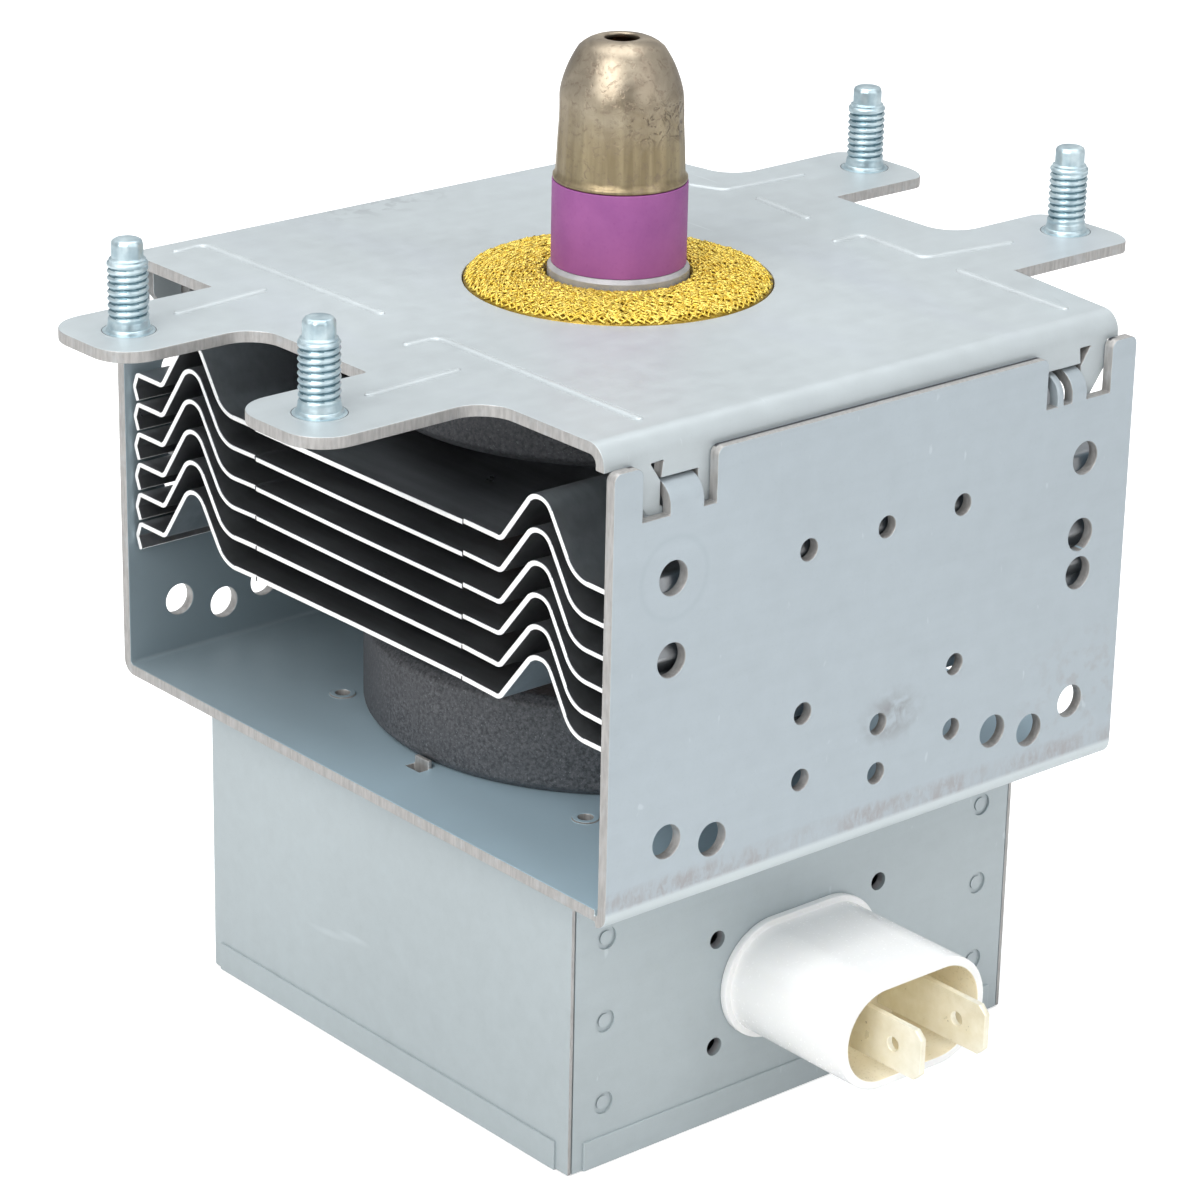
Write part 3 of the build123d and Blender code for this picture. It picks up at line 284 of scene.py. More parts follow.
def bright_zinc(name, low=(0.44, 0.57, 0.63), high=(0.68, 0.80, 0.84)):
    """Bluish bright zinc of the studs; its darker copy paints the shade in the thread's roots."""
    g = Graph(name, metallic=0.85)
    cloud = g.noise(500, 3, 0.55)
    grain = g.noise(5200, 2, 0.6)
    colour = g.mix(g.span(cloud, 0.35, 0.65), low, high)
    g.set("Base Color", colour)
    g.set("Roughness", g.span(cloud, 0.35, 0.65, 0.34, 0.46))
    g.set("Normal", g.bump(grain, 0.006))
    return g.material


def aluminium(name, tint, roughness):
    """Rolled sheet of the fins."""
    g = Graph(name, metallic=0.95)
    roll = g.noise(700, 3, 0.55, g.stretched((1.0, 0.05, 1.0)))
    blots = g.noise(160, 3, 0.55)
    colour = g.mix(g.span(roll, 0.35, 0.65), shaded(tint, 0.85), tint)
    g.set("Base Color", g.mix(g.span(blots, 0.5, 0.7, 0.0, 0.3), colour, shaded(tint, 0.8)))
    g.set("Roughness", g.span(blots, 0.3, 0.7, roughness * 0.8, roughness * 1.2))
    g.set("Normal", g.bump(roll, 0.01))
    return g.material


def fin_edge(name):
    """Sheared edge of the fins: near white, bright cut metal with a painted highlight."""
    g = Graph(name, roughness=0.42)
    blots = g.noise(900, 3, 0.6)
    g.set("Base Color", g.mix(g.span(blots, 0.4, 0.75), (0.97, 0.97, 0.96), (0.86, 0.87, 0.87)))
    g.set("Normal", g.bump(g.noise(2600, 2), 0.008))
    return g.material


def ferrite(name):
    """Sintered magnet: charcoal with light and dark grains."""
    g = Graph(name)
    speck = g.noise(2300, 3, 0.7)
    cloud = g.noise(180, 4, 0.6)
    colour = g.mix(g.span(speck, 0.36, 0.68), (0.026, 0.027, 0.031), (0.125, 0.127, 0.137))
    colour = g.mix(g.span(cloud, 0.4, 0.7, 0.0, 0.5), colour, (0.075, 0.077, 0.084))
    pale = g.span(g.noise(4200, 1), 0.68, 0.74, 0.0, 0.5)
    g.set("Base Color", g.mix(pale, colour, (0.26, 0.27, 0.29)))
    g.set("Roughness", g.span(speck, 0.3, 0.7, 0.5, 0.72))
    g.set("Normal", g.bump(speck, 0.05))
    return g.material


def purple_ceramic(name):
    """Glazed insulator with a slightly uneven tint."""
    g = Graph(name)
    cloud = g.noise(140, 4, 0.6)
    grain = g.noise(2600, 3, 0.6)
    colour = g.mix(g.span(cloud, 0.35, 0.65), (0.285, 0.076, 0.275), (0.35, 0.102, 0.325))
    colour = g.mix(g.span(grain, 0.6, 0.75, 0.0, 0.35), colour, (0.25, 0.06, 0.24))
    g.set("Base Color", colour)
    g.set("Roughness", g.span(grain, 0.3, 0.7, 0.48, 0.62))
    g.set("Normal", g.bump(grain, 0.012))
    return g.material


def nickel(name):
    """Worn nickel of the drawn cap: champagne dome, brown-gold skirt, stains, scuffs and pits."""
    g = Graph(name, metallic=0.9)
    z = g.axes()[2]
    cloud = g.noise(190, 4, 0.6, warp=0.8)
    draw = g.noise(700, 3, 0.55, g.stretched((1.0, 1.0, 0.05)))
    skirt = g.span(g.math("MULTIPLY_ADD", cloud, 0.006, z), 0.0275, 0.0195)
    colour = g.mix(g.span(cloud, 0.33, 0.67), (0.29, 0.24, 0.18), (0.50, 0.43, 0.33))
    brown = g.mix(g.span(draw, 0.35, 0.65), (0.27, 0.21, 0.115), (0.44, 0.355, 0.21))
    colour = g.mix(g.times(skirt, 0.85), colour, brown)
    speck = g.span(g.noise(1100, 4, 0.7, warp=0.8), 0.52, 0.66, 0.0, 0.55)
    colour = g.mix(speck, colour, (0.25, 0.19, 0.14))
    right = g.spot((5.6, -4.8, 20.6), (3.6, 3.8, 3.2), 0.5)
    front = g.spot((0.0, -7.6, 20.6), (5.6, 3.4, 2.4), 0.5)
    zone = g.math("ADD", right, g.times(front, 0.75), clamp=True)
    scuff = g.span(g.noise(520, 4, 0.65, warp=2.0), 0.53, 0.60)
    stain = g.times(zone, g.times(scuff, 0.8))
    colour = g.mix(stain, colour, (0.11, 0.08, 0.06))
    g.set("Base Color", colour)
    g.set("Roughness", g.span(cloud, 0.3, 0.7, 0.30, 0.46))
    dents = g.math("MULTIPLY_ADD", stain, -1.2, g.times(cloud, 0.5))
    g.set("Normal", g.bump(g.math("MULTIPLY_ADD", speck, -0.4, dents), 0.07))
    return g.material


def brass_wire(name, low, high):
    """Gilt wire of the knitted gasket."""
    g = Graph(name, metallic=0.6)
    cloud = g.noise(900, 3, 0.6)
    grain = g.noise(6000, 2, 0.6)
    g.set("Base Color", g.mix(g.span(cloud, 0.35, 0.65), low, high))
    g.set("Roughness", g.span(grain, 0.3, 0.7, 0.24, 0.42))
    g.set("Normal", g.bump(grain, 0.006))
    return g.material


def plain_metal(name, low, high, roughness=(0.3, 0.45), metallic=0.9):
    """Metal with a cloudy tone between two colours and a fine grain."""
    g = Graph(name, metallic=metallic)
    cloud = g.noise(420, 4, 0.6)
    grain = g.noise(3780, 2, 0.6)
    g.set("Base Color", g.mix(g.span(cloud, 0.33, 0.67), low, high))
    g.set("Roughness", g.span(cloud, 0.3, 0.7, *roughness))
    g.set("Normal", g.bump(grain, 0.008))
    return g.material


def white_plastic(name, low, high, roughness=0.22):
    """Moulded resin: glossy, with slight flow marks."""
    g = Graph(name)
    flow = g.noise(120, 3, 0.5, warp=0.6)
    grain = g.noise(2400, 2, 0.6)
    g.set("Base Color", g.mix(g.span(flow, 0.35, 0.65), low, high))
    g.set("Roughness", g.span(grain, 0.3, 0.7, roughness * 0.8, roughness * 1.3))
    relief = g.math("MULTIPLY_ADD", flow, 0.7, g.times(grain, 0.2))
    g.set("Normal", g.bump(relief, 0.02))
    g.set("Subsurface Weight", 0.08)
    g.shader.inputs["Subsurface Radius"].default_value = (0.0012, 0.001, 0.0007)
    return g.material


def pale_ceramic(name):
    """Matt white ceramic of the parts held inside."""
    g = Graph(name, roughness=0.5)
    cloud = g.noise(300, 3, 0.6)
    grain = g.noise(3000, 2, 0.6)
    g.set("Base Color", g.mix(g.span(cloud, 0.35, 0.65), (0.72, 0.70, 0.66), (0.84, 0.83, 0.80)))
    g.set("Normal", g.bump(grain, 0.01))
    return g.material


# Pieces

WELD = 0.002
SLIVER = 0.001
FLAT_ANGLE = 0.4
CUT_FACE_SHARE = 0.3
EDGE_ANGLE = 32
EVEN_WEIGHT = 80


def new_piece(name, mesh, materials):
    """An object of its own on the single body, with its materials in the mesh's slots."""
    piece = bpy.data.objects.new(name, mesh)
    bpy.context.scene.collection.objects.link(piece)
    for material in materials:
        mesh.materials.append(material)
    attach(piece, "root")
    return piece


def mesh_piece(name, work, materials, smooth=True, outward=True):
    """Turns a bmesh into a piece."""
    if outward:
        bmesh.ops.recalc_face_normals(work, faces=work.faces)
    for face in work.faces:
        face.smooth = smooth
    mesh = bpy.data.meshes.new(name + "_mesh")
    work.to_mesh(mesh)
    work.free()
    return new_piece(name, mesh, materials)


def band_into(work, lower, upper):
    """Closed band of quads between two rings of vertices."""
    count = len(lower)
    return [
        work.faces.new((lower[i], lower[(i + 1) % count], upper[(i + 1) % count], upper[i]))
        for i in range(count)
    ]


def clean_copy(node):
    """The node's triangles as a welded bmesh of its own."""
    source = frame["nodes"][node].data
    mesh = bpy.data.meshes.new(node + "_mesh")
    faces = [list(p.vertices) for p in source.polygons]
    mesh.from_pydata([v.co for v in source.vertices], [], faces)
    work = bmesh.new()
    work.from_mesh(mesh)
    bmesh.ops.remove_doubles(work, verts=work.verts, dist=WELD * MM)
    bmesh.ops.dissolve_degenerate(work, edges=work.edges, dist=SLIVER * MM)
    work.normal_update()
    return mesh, work


def mark_cut_faces(work, sheet):
    """Second material for the faces that aren't one of the sheet's two sides."""
    tree = BVHTree.FromBMesh(work)
    for face in work.faces:
        centre = face.calc_center_median()
        hit = tree.ray_cast(centre - face.normal * 0.01 * MM, -face.normal)
        if hit[3] is None or abs(hit[3] / MM - sheet) > CUT_FACE_SHARE * sheet:
            face.material_index = 1


def refined(node, materials, sheet=None, bevel=0.12, segments=2, adjust=None, mark=None,
            merge=True):
    """The node with rounded edges, or with sharp ones where its flat faces aren't merged.

    With a sheet thickness, its cut edges get the second material; so do the faces that mark picks.
    """
    mesh, work = clean_copy(node)
    if sheet:
        mark_cut_faces(work, sheet)
    if mark:
        for face in work.faces:
            face.material_index = mark(face.calc_center_median() / MM)
    if merge:
        bmesh.ops.dissolve_limit(
            work, angle_limit=radians(FLAT_ANGLE), verts=work.verts, edges=work.edges,
            delimit={"MATERIAL"},
        )
    if adjust:
        adjust(work)
    for face in work.faces:
        face.smooth = True
    work.to_mesh(mesh)
    work.free()
    piece = new_piece(node + "_skin", mesh, materials)
    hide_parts(node)
    if not merge:
        mesh.set_sharp_from_angle(angle=radians(EDGE_ANGLE))
        return
    rounding = piece.modifiers.new("rounding", "BEVEL")
    rounding.width = bevel * MM
    rounding.segments = segments
    rounding.limit_method = "ANGLE"
    rounding.angle_limit = radians(EDGE_ANGLE)
    rounding.use_clamp_overlap = False
    rounding.miter_outer = "MITER_ARC" if segments > 1 else "MITER_SHARP"
    even = piece.modifiers.new("even_normals", "WEIGHTED_NORMAL")
    even.weight = EVEN_WEIGHT
    even.keep_sharp = False


def lathe(name, profile, sides, materials, shape=None):
    """Turned surface from (radius, height) points in millimetres; shape moves each point."""
    work = bmesh.new()
    rings = []
    for radius, height in profile:
        ring = []
        for i in range(sides):
            turn = tau * i / sides
            point = Vector((radius * cos(turn), radius * sin(turn), height))
            if shape:
                point = shape(point, turn)
            ring.append(work.verts.new(point * MM))
        rings.append(ring)
    for lower, upper in zip(rings, rings[1:]):
        band_into(work, lower, upper)
    return mesh_piece(name, work, materials)


def loop_into(work, points, radius, sides):
    """Adds a closed loop of thin wire along points (millimetres) to a bmesh."""
    rings = []
    for i, point in enumerate(points):
        along = (points[(i + 1) % len(points)] - points[i - 1]).normalized()
        side = along.cross(Vector((0, 0, 1)))
        side = side.normalized() if side.length > 1e-6 else Vector((1, 0, 0))
        up = side.cross(along)
        ring = []
        for k in range(sides):
            out = side * cos(tau * k / sides) + up * sin(tau * k / sides)
            ring.append(work.verts.new((point + out * radius) * MM))
        rings.append(ring)
    for i, lower in enumerate(rings):
        band_into(work, lower, rings[(i + 1) % len(rings)])


# Studs with rolled threads

THREAD_CREST = 2.35
THREAD_ROOT = 2.08
ROOT_SHADE = 2.16
THREAD_PITCH = 0.8
THREAD_START = 1.1
THREAD_END = 7.9
THREAD_FADE_IN = 0.7
THREAD_FADE_OUT = 0.4
THREAD_FLANK = 0.8
THREAD_STEPS = 10
THREAD_SIDES = 48
STUD_SPINS = (0.4, 2.1, 1.2, 3.0)
STUD_FOOT = [
    (3.02, -0.02), (3.02, 0.02), (2.9, 0.05), (2.64, 0.07), (2.62, 0.12), (2.6, 0.34),
    (2.52, 0.44), (2.42, 0.5), (2.4, 0.9), (2.35, 1.0),
]
STUD_TIP = [
    (2.35, 7.96), (2.28, 8.08), (2.08, 8.2), (2.1, 8.42), (1.95, 8.5), (1.88, 8.62),
    (1.87, 10.1), (1.82, 10.34), (1.66, 10.56), (1.4, 10.68), (1.0, 10.7),
]
# Head under the ear, heights from the sheet's underside
STUD_HEAD = [(3.0, 0.0), (3.6, 0.0), (3.6, -0.85), (3.45, -1.0)]
STUD_CREASE = 38
DOG_FACETS = 10
DOG_START = 8.6
DOG_CROWN = 1.5


def thread_radius(height, turn):
    """Radius of the thread at a height and an angle, faded out at both ends."""
    phase = height / THREAD_PITCH - turn / tau
    wave = (0.5 + 0.5 * cos(tau * phase)) ** THREAD_FLANK
    fade = min(
        1.0, (height - THREAD_START) / THREAD_FADE_IN, (THREAD_END - height) / THREAD_FADE_OUT
    )
    return THREAD_CREST - (THREAD_CREST - THREAD_ROOT) * max(0.0, fade) * (1 - wave)


def stud_profile():
    """(radius, height) pairs; None marks the threaded part."""
    length = THREAD_END - THREAD_START
    steps = int(length / (THREAD_PITCH / THREAD_STEPS))
    thread = [(None, THREAD_START + length * i / steps) for i in range(steps + 1)]
    return STUD_FOOT + thread + STUD_TIP


def stud_radius(radius, height, turn):
    """Radius of a stud's surface, with its thread and the facets of its tip."""
    if radius is None:
        radius = thread_radius(height, turn)
    if height > DOG_START and radius > DOG_CROWN:
        part = (turn / tau * DOG_FACETS) % 1.0 - 0.5
        radius *= cos(pi / DOG_FACETS) / cos(part * tau / DOG_FACETS)
    return radius


def stud_ring(work, corner, height, radii):
    """Ring of vertices round a stud's axis, with a radius for each."""
    ring = []
    for i, radius in enumerate(radii):
        turn = tau * i / len(radii)
        place = (
            corner[0] * STUD_X + radius * cos(turn), corner[1] * STUD_Y + radius * sin(turn), height
        )
        ring.append(work.verts.new(Vector(place) * MM))
    return ring


def make_studs(materials):
    work = bmesh.new()
    turns = [tau * i / THREAD_SIDES for i in range(THREAD_SIDES)]
    for corner, spin in zip(STUD_CORNERS, STUD_SPINS):
        axis = Vector((corner[0] * STUD_X, corner[1] * STUD_Y, 0))
        rings = [
            stud_ring(work, corner, height, [stud_radius(radius, height, t + spin) for t in turns])
            for radius, height in stud_profile()
        ]
        for lower, upper in zip(rings, rings[1:]):
            for face in band_into(work, lower, upper):
                middle = face.calc_center_median() / MM - axis
                # Painted shade: faces in the thread's roots take the darker second material
                if THREAD_START < middle.z < THREAD_END and middle.xy.length < ROOT_SHADE:
                    face.material_index = 1
        work.faces.new(rings[-1])
        rings = [
            stud_ring(work, corner, height - YOKE_SHEET, [radius] * THREAD_SIDES)
            for radius, height in STUD_HEAD
        ]
        for lower, upper in zip(rings, rings[1:]):
            band_into(work, lower, upper)
        work.faces.new(rings[-1])
    piece = mesh_piece("threaded_studs", work, materials)
    piece.data.set_sharp_from_angle(angle=radians(STUD_CREASE))
    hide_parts("mounting_studs")


# Knitted gasket

GASKET_CROWN = [
    (8.75, 1.1), (10.0, 1.4), (12.0, 1.36), (15.0, 1.1), (17.4, 0.7), (18.25, 0.25),
]
GASKET_FOOT = -1.0
BED_STEPS = 30
BED_SIDES = 160
BED_DROP = 0.3
WIRE_ROW = 0.40
WIRE_INSET = 0.2
WIRE_RADIUS = 0.145
WIRE_SINK = 0.17
WIRE_SIDES = 5
LOOP_LENGTH = 1.15
LOOP_HALF = 0.34
LOOP_RISE = 0.12
LOOP_LEAN = 0.28
LOOP_POINTS = 8


def gasket_height(radius):
    """Top of the crowned mesh ring at a radius, in millimetres."""
    for (r_low, z_low), (r_high, z_high) in zip(GASKET_CROWN, GASKET_CROWN[1:]):
        if radius <= r_high:
            return z_low + (z_high - z_low) * max(0.0, radius - r_low) / (r_high - r_low)
    return GASKET_CROWN[-1][1]


def wire_loops(base, start):
    """Points of one row of wire loops round the gasket, each loop a little off the row."""
    waves = int(tau * base / LOOP_LENGTH)
    count = waves * LOOP_POINTS
    points = []
    for i in range(count):
        turn = tau * i / count
        jitter = noise.noise(Vector((base * 3, turn * base * 0.7, 0.5)))
        lift = noise.noise(Vector((turn * base * 1.1, base * 2, 9.1)))
        phase = tau * waves * i / count + start + 2.2 * jitter
        radius = base + (LOOP_HALF + 0.2 * lift) * sin(phase) + 0.3 * jitter
        radius = min(GASKET_RADIUS - WIRE_RADIUS, max(GASKET_BORE + WIRE_RADIUS, radius))
        height = gasket_height(radius) - WIRE_SINK + LOOP_RISE * cos(phase + 1.3) + 0.2 * lift
        angle = turn + (LOOP_LEAN * sin(2 * phase + 2 * jitter) + 0.3 * lift) / base
        points.append(Vector((radius * cos(angle), radius * sin(angle), height)))
    return points


def make_gasket(wire, shadow):
    """Crowned bed with two layers of looped wire."""
    random.seed(7)
    width = GASKET_RADIUS - GASKET_BORE
    crown = [GASKET_BORE + width * i / BED_STEPS for i in range(BED_STEPS + 1)]
    profile = [(GASKET_BORE, GASKET_FOOT)]
    profile += [(radius, gasket_height(radius) - BED_DROP) for radius in crown]
    profile.append((GASKET_RADIUS, GASKET_FOOT))
    bed = lathe("gasket_bed", profile, BED_SIDES, [shadow])
    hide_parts("rf_gasket")
    rows = int(width / WIRE_ROW)
    for layer in range(2):
        work = bmesh.new()
        for row in range(layer, rows, 2):
            base = GASKET_BORE + WIRE_INSET + WIRE_ROW * (row + 0.2)
            points = wire_loops(base, random.random() * tau)
            loop_into(work, points, WIRE_RADIUS, WIRE_SIDES)
        mesh_piece(f"gasket_wire_{layer + 1}", work, [wire], outward=False)


# Antenna cap

CAP_PROFILE = [
    (7.62, 12.30), (7.86, 12.28), (7.94, 12.40), (7.92, 12.66), (7.78, 12.82), (7.64, 13.0),
    (7.62, 13.6), (7.58, 14.6), (7.53, 15.8), (7.47, 17.0), (7.42, 17.9), (7.38, 18.6),
    (7.34, 19.4), (7.33, 20.4), (7.33, 21.4), (7.30, 22.2), (7.20, 22.8), (7.02, 23.5),
    (6.78, 24.3), (6.50, 25.1), (6.18, 25.9), (5.82, 26.6), (5.44, 27.25), (5.06, 27.85),
    (4.5, 28.32), (3.95, 28.65), (3.4, 28.88), (2.9, 29.0), (2.4, 29.04), (2.12, 29.0),
    (2.05, 28.9), (2.05, 28.5), (2.9, 28.4), (4.2, 27.9), (5.6, 26.6), (6.6, 24.6),
    (6.8, 22.5), (6.8, 19.0), (7.1, 13.0), (7.1, 12.35), (7.62, 12.30),
]
CAP_SIDES = 216
CAP_FACETS = 18
CAP_RADIUS = 7.4
CAP_DENT = 0.07
CAP_WAVE = 0.004
# Facets and dents: beyond this radius, from the rim's height up to the dome's, each with its fade
CAP_DENTED_FROM = 5.4
CAP_RIM, CAP_RIM_FADE = 12.9, 0.8
CAP_DOME, CAP_DOME_FADE = 23.5, 2.5
# Lean of the top: full amount and direction, with the height it starts at and its run
CAP_LEAN = 0.14
CAP_LEAN_WAY = (-0.763, 0.646)
CAP_LEAN_FROM, CAP_LEAN_RUN = 20.0, 9.0


def cap_shape(point, turn):
    """Light facets of the skirt, shallow hand dents and a dome that leans a little."""
    radius = sqrt(point.x ** 2 + point.y ** 2)
    height = point.z
    change = 0.0
    if radius > CAP_DENTED_FROM:
        above_rim = min(1.0, max(0.0, (height - CAP_RIM) / CAP_RIM_FADE))
        below_dome = min(1.0, max(0.0, (CAP_DOME - height) / CAP_DOME_FADE))
        part = (turn / tau * CAP_FACETS + 0.35) % 1.0 - 0.5
        flat = cos(pi / CAP_FACETS) / cos(part * tau / CAP_FACETS) - 1.0
        dent = noise.noise(Vector((cos(turn) * 1.6, sin(turn) * 1.6, height * 0.16))) * CAP_DENT
        change = above_rim * below_dome * (flat * 0.9 + dent / CAP_RADIUS)
        change += CAP_WAVE * noise.noise(point * 0.5)
    lean = CAP_LEAN * min(1.0, max(0.0, (height - CAP_LEAN_FROM) / CAP_LEAN_RUN))
    return Vector((
        point.x * (1 + change) + CAP_LEAN_WAY[0] * lean,
        point.y * (1 + change) + CAP_LEAN_WAY[1] * lean,
        height,
    ))


def make_cap(material):
    piece = lathe("drawn_cap", CAP_PROFILE, CAP_SIDES, [material], cap_shape)
    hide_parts("antenna_cap")


# Sheet details

# Routes of the plate's stiffening beads, corner by corner
BEADS = [
    [(-30.6, 6.0), (-30.9, 40.4), (-35.2, 39.9)],
    [(-31.2, -39.8), (-30.9, -4.9), (-35.1, -4.9)],
    [(31.4, -4.2), (35.9, -3.9), (35.0, -15.6), (47.7, -17.4)],
    [(33.7, 25.0), (35.6, 20.8), (47.9, 20.1)],
    [(-49.0, 19.8), (-36.4, 21.0)],
    [(-49.3, -16.4), (-36.7, -15.5)],
    [(34.7, -22.2), (33.8, -40.0)],
    [(36.3, 15.0), (35.3, 5.4)],
]
BEAD_BEND = 1.4
BEAD_HALF = 0.68
BEAD_TOP = 0.19
BEAD_FOOT = -0.30
BEND_STEPS = 6
RIDGE_STEP = 0.5
RIDGE_SPANS = 8
RIDGE_CROWN = 3.2


def rounded_route(corners, radius):
    """Points along a route of straight runs with rounded corners."""
    points = [Vector(corners[0])]
    for before, corner, after in zip(corners, corners[1:], corners[2:]):
        a, b, c = Vector(before), Vector(corner), Vector(after)
        into, out = (b - a).normalized(), (c - b).normalized()
        reach = radius * abs((into - out).length) / max(0.2, (into + out).length)
        start, stop = b - into * reach, b + out * reach
        for i in range(BEND_STEPS + 1):
            t = i / BEND_STEPS
            points.append(start * (1 - t) ** 2 + b * 2 * t * (1 - t) + stop * t ** 2)
    points.append(Vector(corners[-1]))
    return points


def ridge_into(work, route, half, top, foot):
    """A rounded ridge with rounded ends along a flat route, added to a bmesh."""
    dense = []
    for a, b in zip(route, route[1:]):
        steps = max(1, int((b - a).length / RIDGE_STEP))
        dense += [a + (b - a) * i / steps for i in range(steps)]
    dense.append(route[-1])
    first = (dense[1] - dense[0]).normalized()
    last = (dense[-1] - dense[-2]).normalized()
    starts = [(dense[0] - first * half * cos(t * pi / 8), sin(t * pi / 8)) for t in range(4)]
    stops = [(dense[-1] + last * half * sin(t * pi / 8), cos(t * pi / 8)) for t in range(1, 5)]
    rows = starts + [(p, 1.0) for p in dense] + stops
    rings = []
    for i, (point, share) in enumerate(rows):
        along = (rows[min(i + 1, len(rows) - 1)][0] - rows[max(i - 1, 0)][0]).normalized()
        side = Vector((-along.y, along.x))
        share = max(0.02, share)
        ring = []
        for k in range(RIDGE_SPANS + 1):
            across = -1 + 2 * k / RIDGE_SPANS
            crown = 1 - abs(across) ** RIDGE_CROWN
            height = foot + (top - foot) * crown * min(1.0, share + 0.3)
            spot = point + side * across * half * share
            ring.append(work.verts.new(Vector((spot.x, spot.y, height)) * MM))
        rings.append(ring)
    for lower, upper in zip(rings, rings[1:]):
        for k in range(RIDGE_SPANS):
            work.faces.new((lower[k], upper[k], upper[k + 1], lower[k + 1]))


def make_beads(material):
    work = bmesh.new()
    for corners in BEADS:
        ridge_into(work, rounded_route(corners, BEAD_BEND), BEAD_HALF, BEAD_TOP, BEAD_FOOT)
    mesh_piece("plate_beads", work, [material])


PRESS_SHADE_RING = [(2.93, 0.006), (3.09, 0.006)]
PRESS_BURR = [(3.09, 0.0), (3.12, 0.035), (3.2, 0.05), (3.3, 0.035), (3.42, 0.0)]
PRESS_SIDES = 64


def make_press_rings(gap, burr):
    """Painted shade in the press gap, as a dark flat ring, and the raised burr round each stud."""
    for name, profile, material in (
        ("press_gaps", PRESS_SHADE_RING, gap), ("press_burrs", PRESS_BURR, burr),
    ):
        work = bmesh.new()
        for corner in STUD_CORNERS:
            rings = [
                stud_ring(work, corner, height, [radius] * PRESS_SIDES)
                for radius, height in profile
            ]
            for lower, upper in zip(rings, rings[1:]):
                band_into(work, lower, upper)
        mesh_piece(name, work, [material])


FIN_STEP = 0.26
FIN_STEP_AT = 19.6
# Where the fins are bent a little off their levels: places along Y, then each fin's drift in Z
FIN_STATIONS = (
    -44.3, -38.5, -32.4, -26.1, -19.6, -19.4, 0.0, 19.4, 19.6, 26.1, 32.2, 38.5, 44.3,
)
FIN_DRIFT = (
    (-1.1, -1.0, -0.8, -0.2, -0.1, -0.26, -0.26, -0.2, 0.0, 0.0, 0.0, 0.0, 0.0),
    (-1.15, -1.05, -0.85, -0.15, 0.0, -0.26, -0.26, -0.1, 0.1, 0.0, 0.0, 0.0, 0.0),
    (-1.1, -1.0, -0.85, -0.1, 0.0, -0.26, -0.22, 0.0, 0.15, 0.0, 0.0, 0.0, 0.0),
    (-1.05, -0.9, -0.75, 0.0, 0.05, -0.16, -0.06, 0.12, 0.2, 0.05, 0.0, -0.1, -0.1),
    (-0.95, -0.75, -0.6, 0.0, 0.2, 0.14, 0.16, 0.14, 0.2, 0.05, -0.1, -0.2, -0.2),
    (-0.3, -0.3, -0.4, 0.0, 0.2, 0.24, 0.24, 0.1, 0.15, 0.0, -0.1, -0.25, -0.25),
)
# Sideways drift of the hump near the connector's side, growing down the stack
HUMP_PEAK = -32.4
HUMP_REACH = 6.2
HUMP_DRIFT = (-0.25, -0.35, -0.5, -0.55, -0.7, -0.75)


def bend_fin(number):
    """A change for a fin's mesh: cuts it at the stations and moves each vertex by the drift."""

    def adjust(work):
        for place in FIN_STATIONS[1:-1]:
            bmesh.ops.bisect_plane(
                work, geom=work.verts[:] + work.edges[:] + work.faces[:], dist=1e-6,
                plane_co=(0, place * MM, 0), plane_no=(0, 1, 0),
            )
        drift = FIN_DRIFT[number - 1]
        for vert in work.verts:
            along = min(max(vert.co.y / MM, FIN_STATIONS[0]), FIN_STATIONS[-1])
            for i in range(len(FIN_STATIONS) - 1):
                low, high = FIN_STATIONS[i], FIN_STATIONS[i + 1]
                if along <= high:
                    share = (along - low) / (high - low)
                    vert.co.z += (drift[i] * (1 - share) + drift[i + 1] * share) * MM
                    break
            near = max(0.0, 1 - abs(along - HUMP_PEAK) / HUMP_REACH)
            vert.co.y += HUMP_DRIFT[number - 1] * near * MM

    return adjust


def box_into(work, low, high):
    """A plain box between two corners in millimetres, added to a bmesh."""
    made = bmesh.ops.create_cube(work, size=1.0)
    for vert in made["verts"]:
        vert.co = Vector([
            (a + (b - a) * (c + 0.5)) * MM for a, b, c in zip(low, high, vert.co)
        ])


FIN_TOP = 15.9
FIN_PITCH = 3.8
FIN_END = 38.7
NICK_PROUD = 0.012
NICK_DEPTH = 0.05
NICK_HALF = 0.06
NICK_INSET = 0.1
# Places of the nicks along Y, each with its column in FIN_DRIFT
NICKS = ((-FIN_STEP_AT + NICK_INSET, 4), (FIN_STEP_AT - NICK_INSET, 8))


def make_fin_nicks(material):
    """Small shear nicks across the fins' edges: dark boxes that paint the shade in them."""
    work = bmesh.new()
    for number in range(FIN_COUNT):
        level = -FIN_TOP - FIN_PITCH * number
        for end in (-1, 1):
            edge = end * (FIN_END + NICK_PROUD)
            for place, column in NICKS:
                height = level + FIN_DRIFT[number][column] - FIN_STEP / 2
                box_into(
                    work,
                    (edge - NICK_DEPTH, place - NICK_HALF, height - FIN_SHEET / 2),
                    (edge + NICK_DEPTH, place + NICK_HALF, height + FIN_SHEET / 2),
                )
    mesh_piece("fin_nicks", work, [material], smooth=False, outward=False)


BOX_WALL_END = -91.9
BOX_FOOT = -92.5
PANEL_BEND_FROM = 34.0
PANEL_HALF = 34.5
PANEL_GAP = 0.09
LID_LIP = 0.28
LID_STOP = 32.9
LID_FLOOR_HALF = 34.5
# Underside and top of the lid's floor, above its lowest edge
LID_FLOOR = (0.05, 0.6)
LID_FLANGE_INSET = 0.3
LID_BEVEL = 0.12


def lower_foot(work):
    """Runs the box's walls down nearly to the lid's underside."""
    for vert in work.verts:
        if vert.co.z < BOX_WALL_END * MM:
            vert.co.z = BOX_FOOT * MM


def lower_and_ease(work):
    """Does the same and leaves a narrow gap between the panel and the side walls."""
    lower_foot(work)
    for vert in work.verts:
        if abs(vert.co.x) > PANEL_BEND_FROM * MM:
            vert.co.x *= 1 - PANEL_GAP / PANEL_HALF


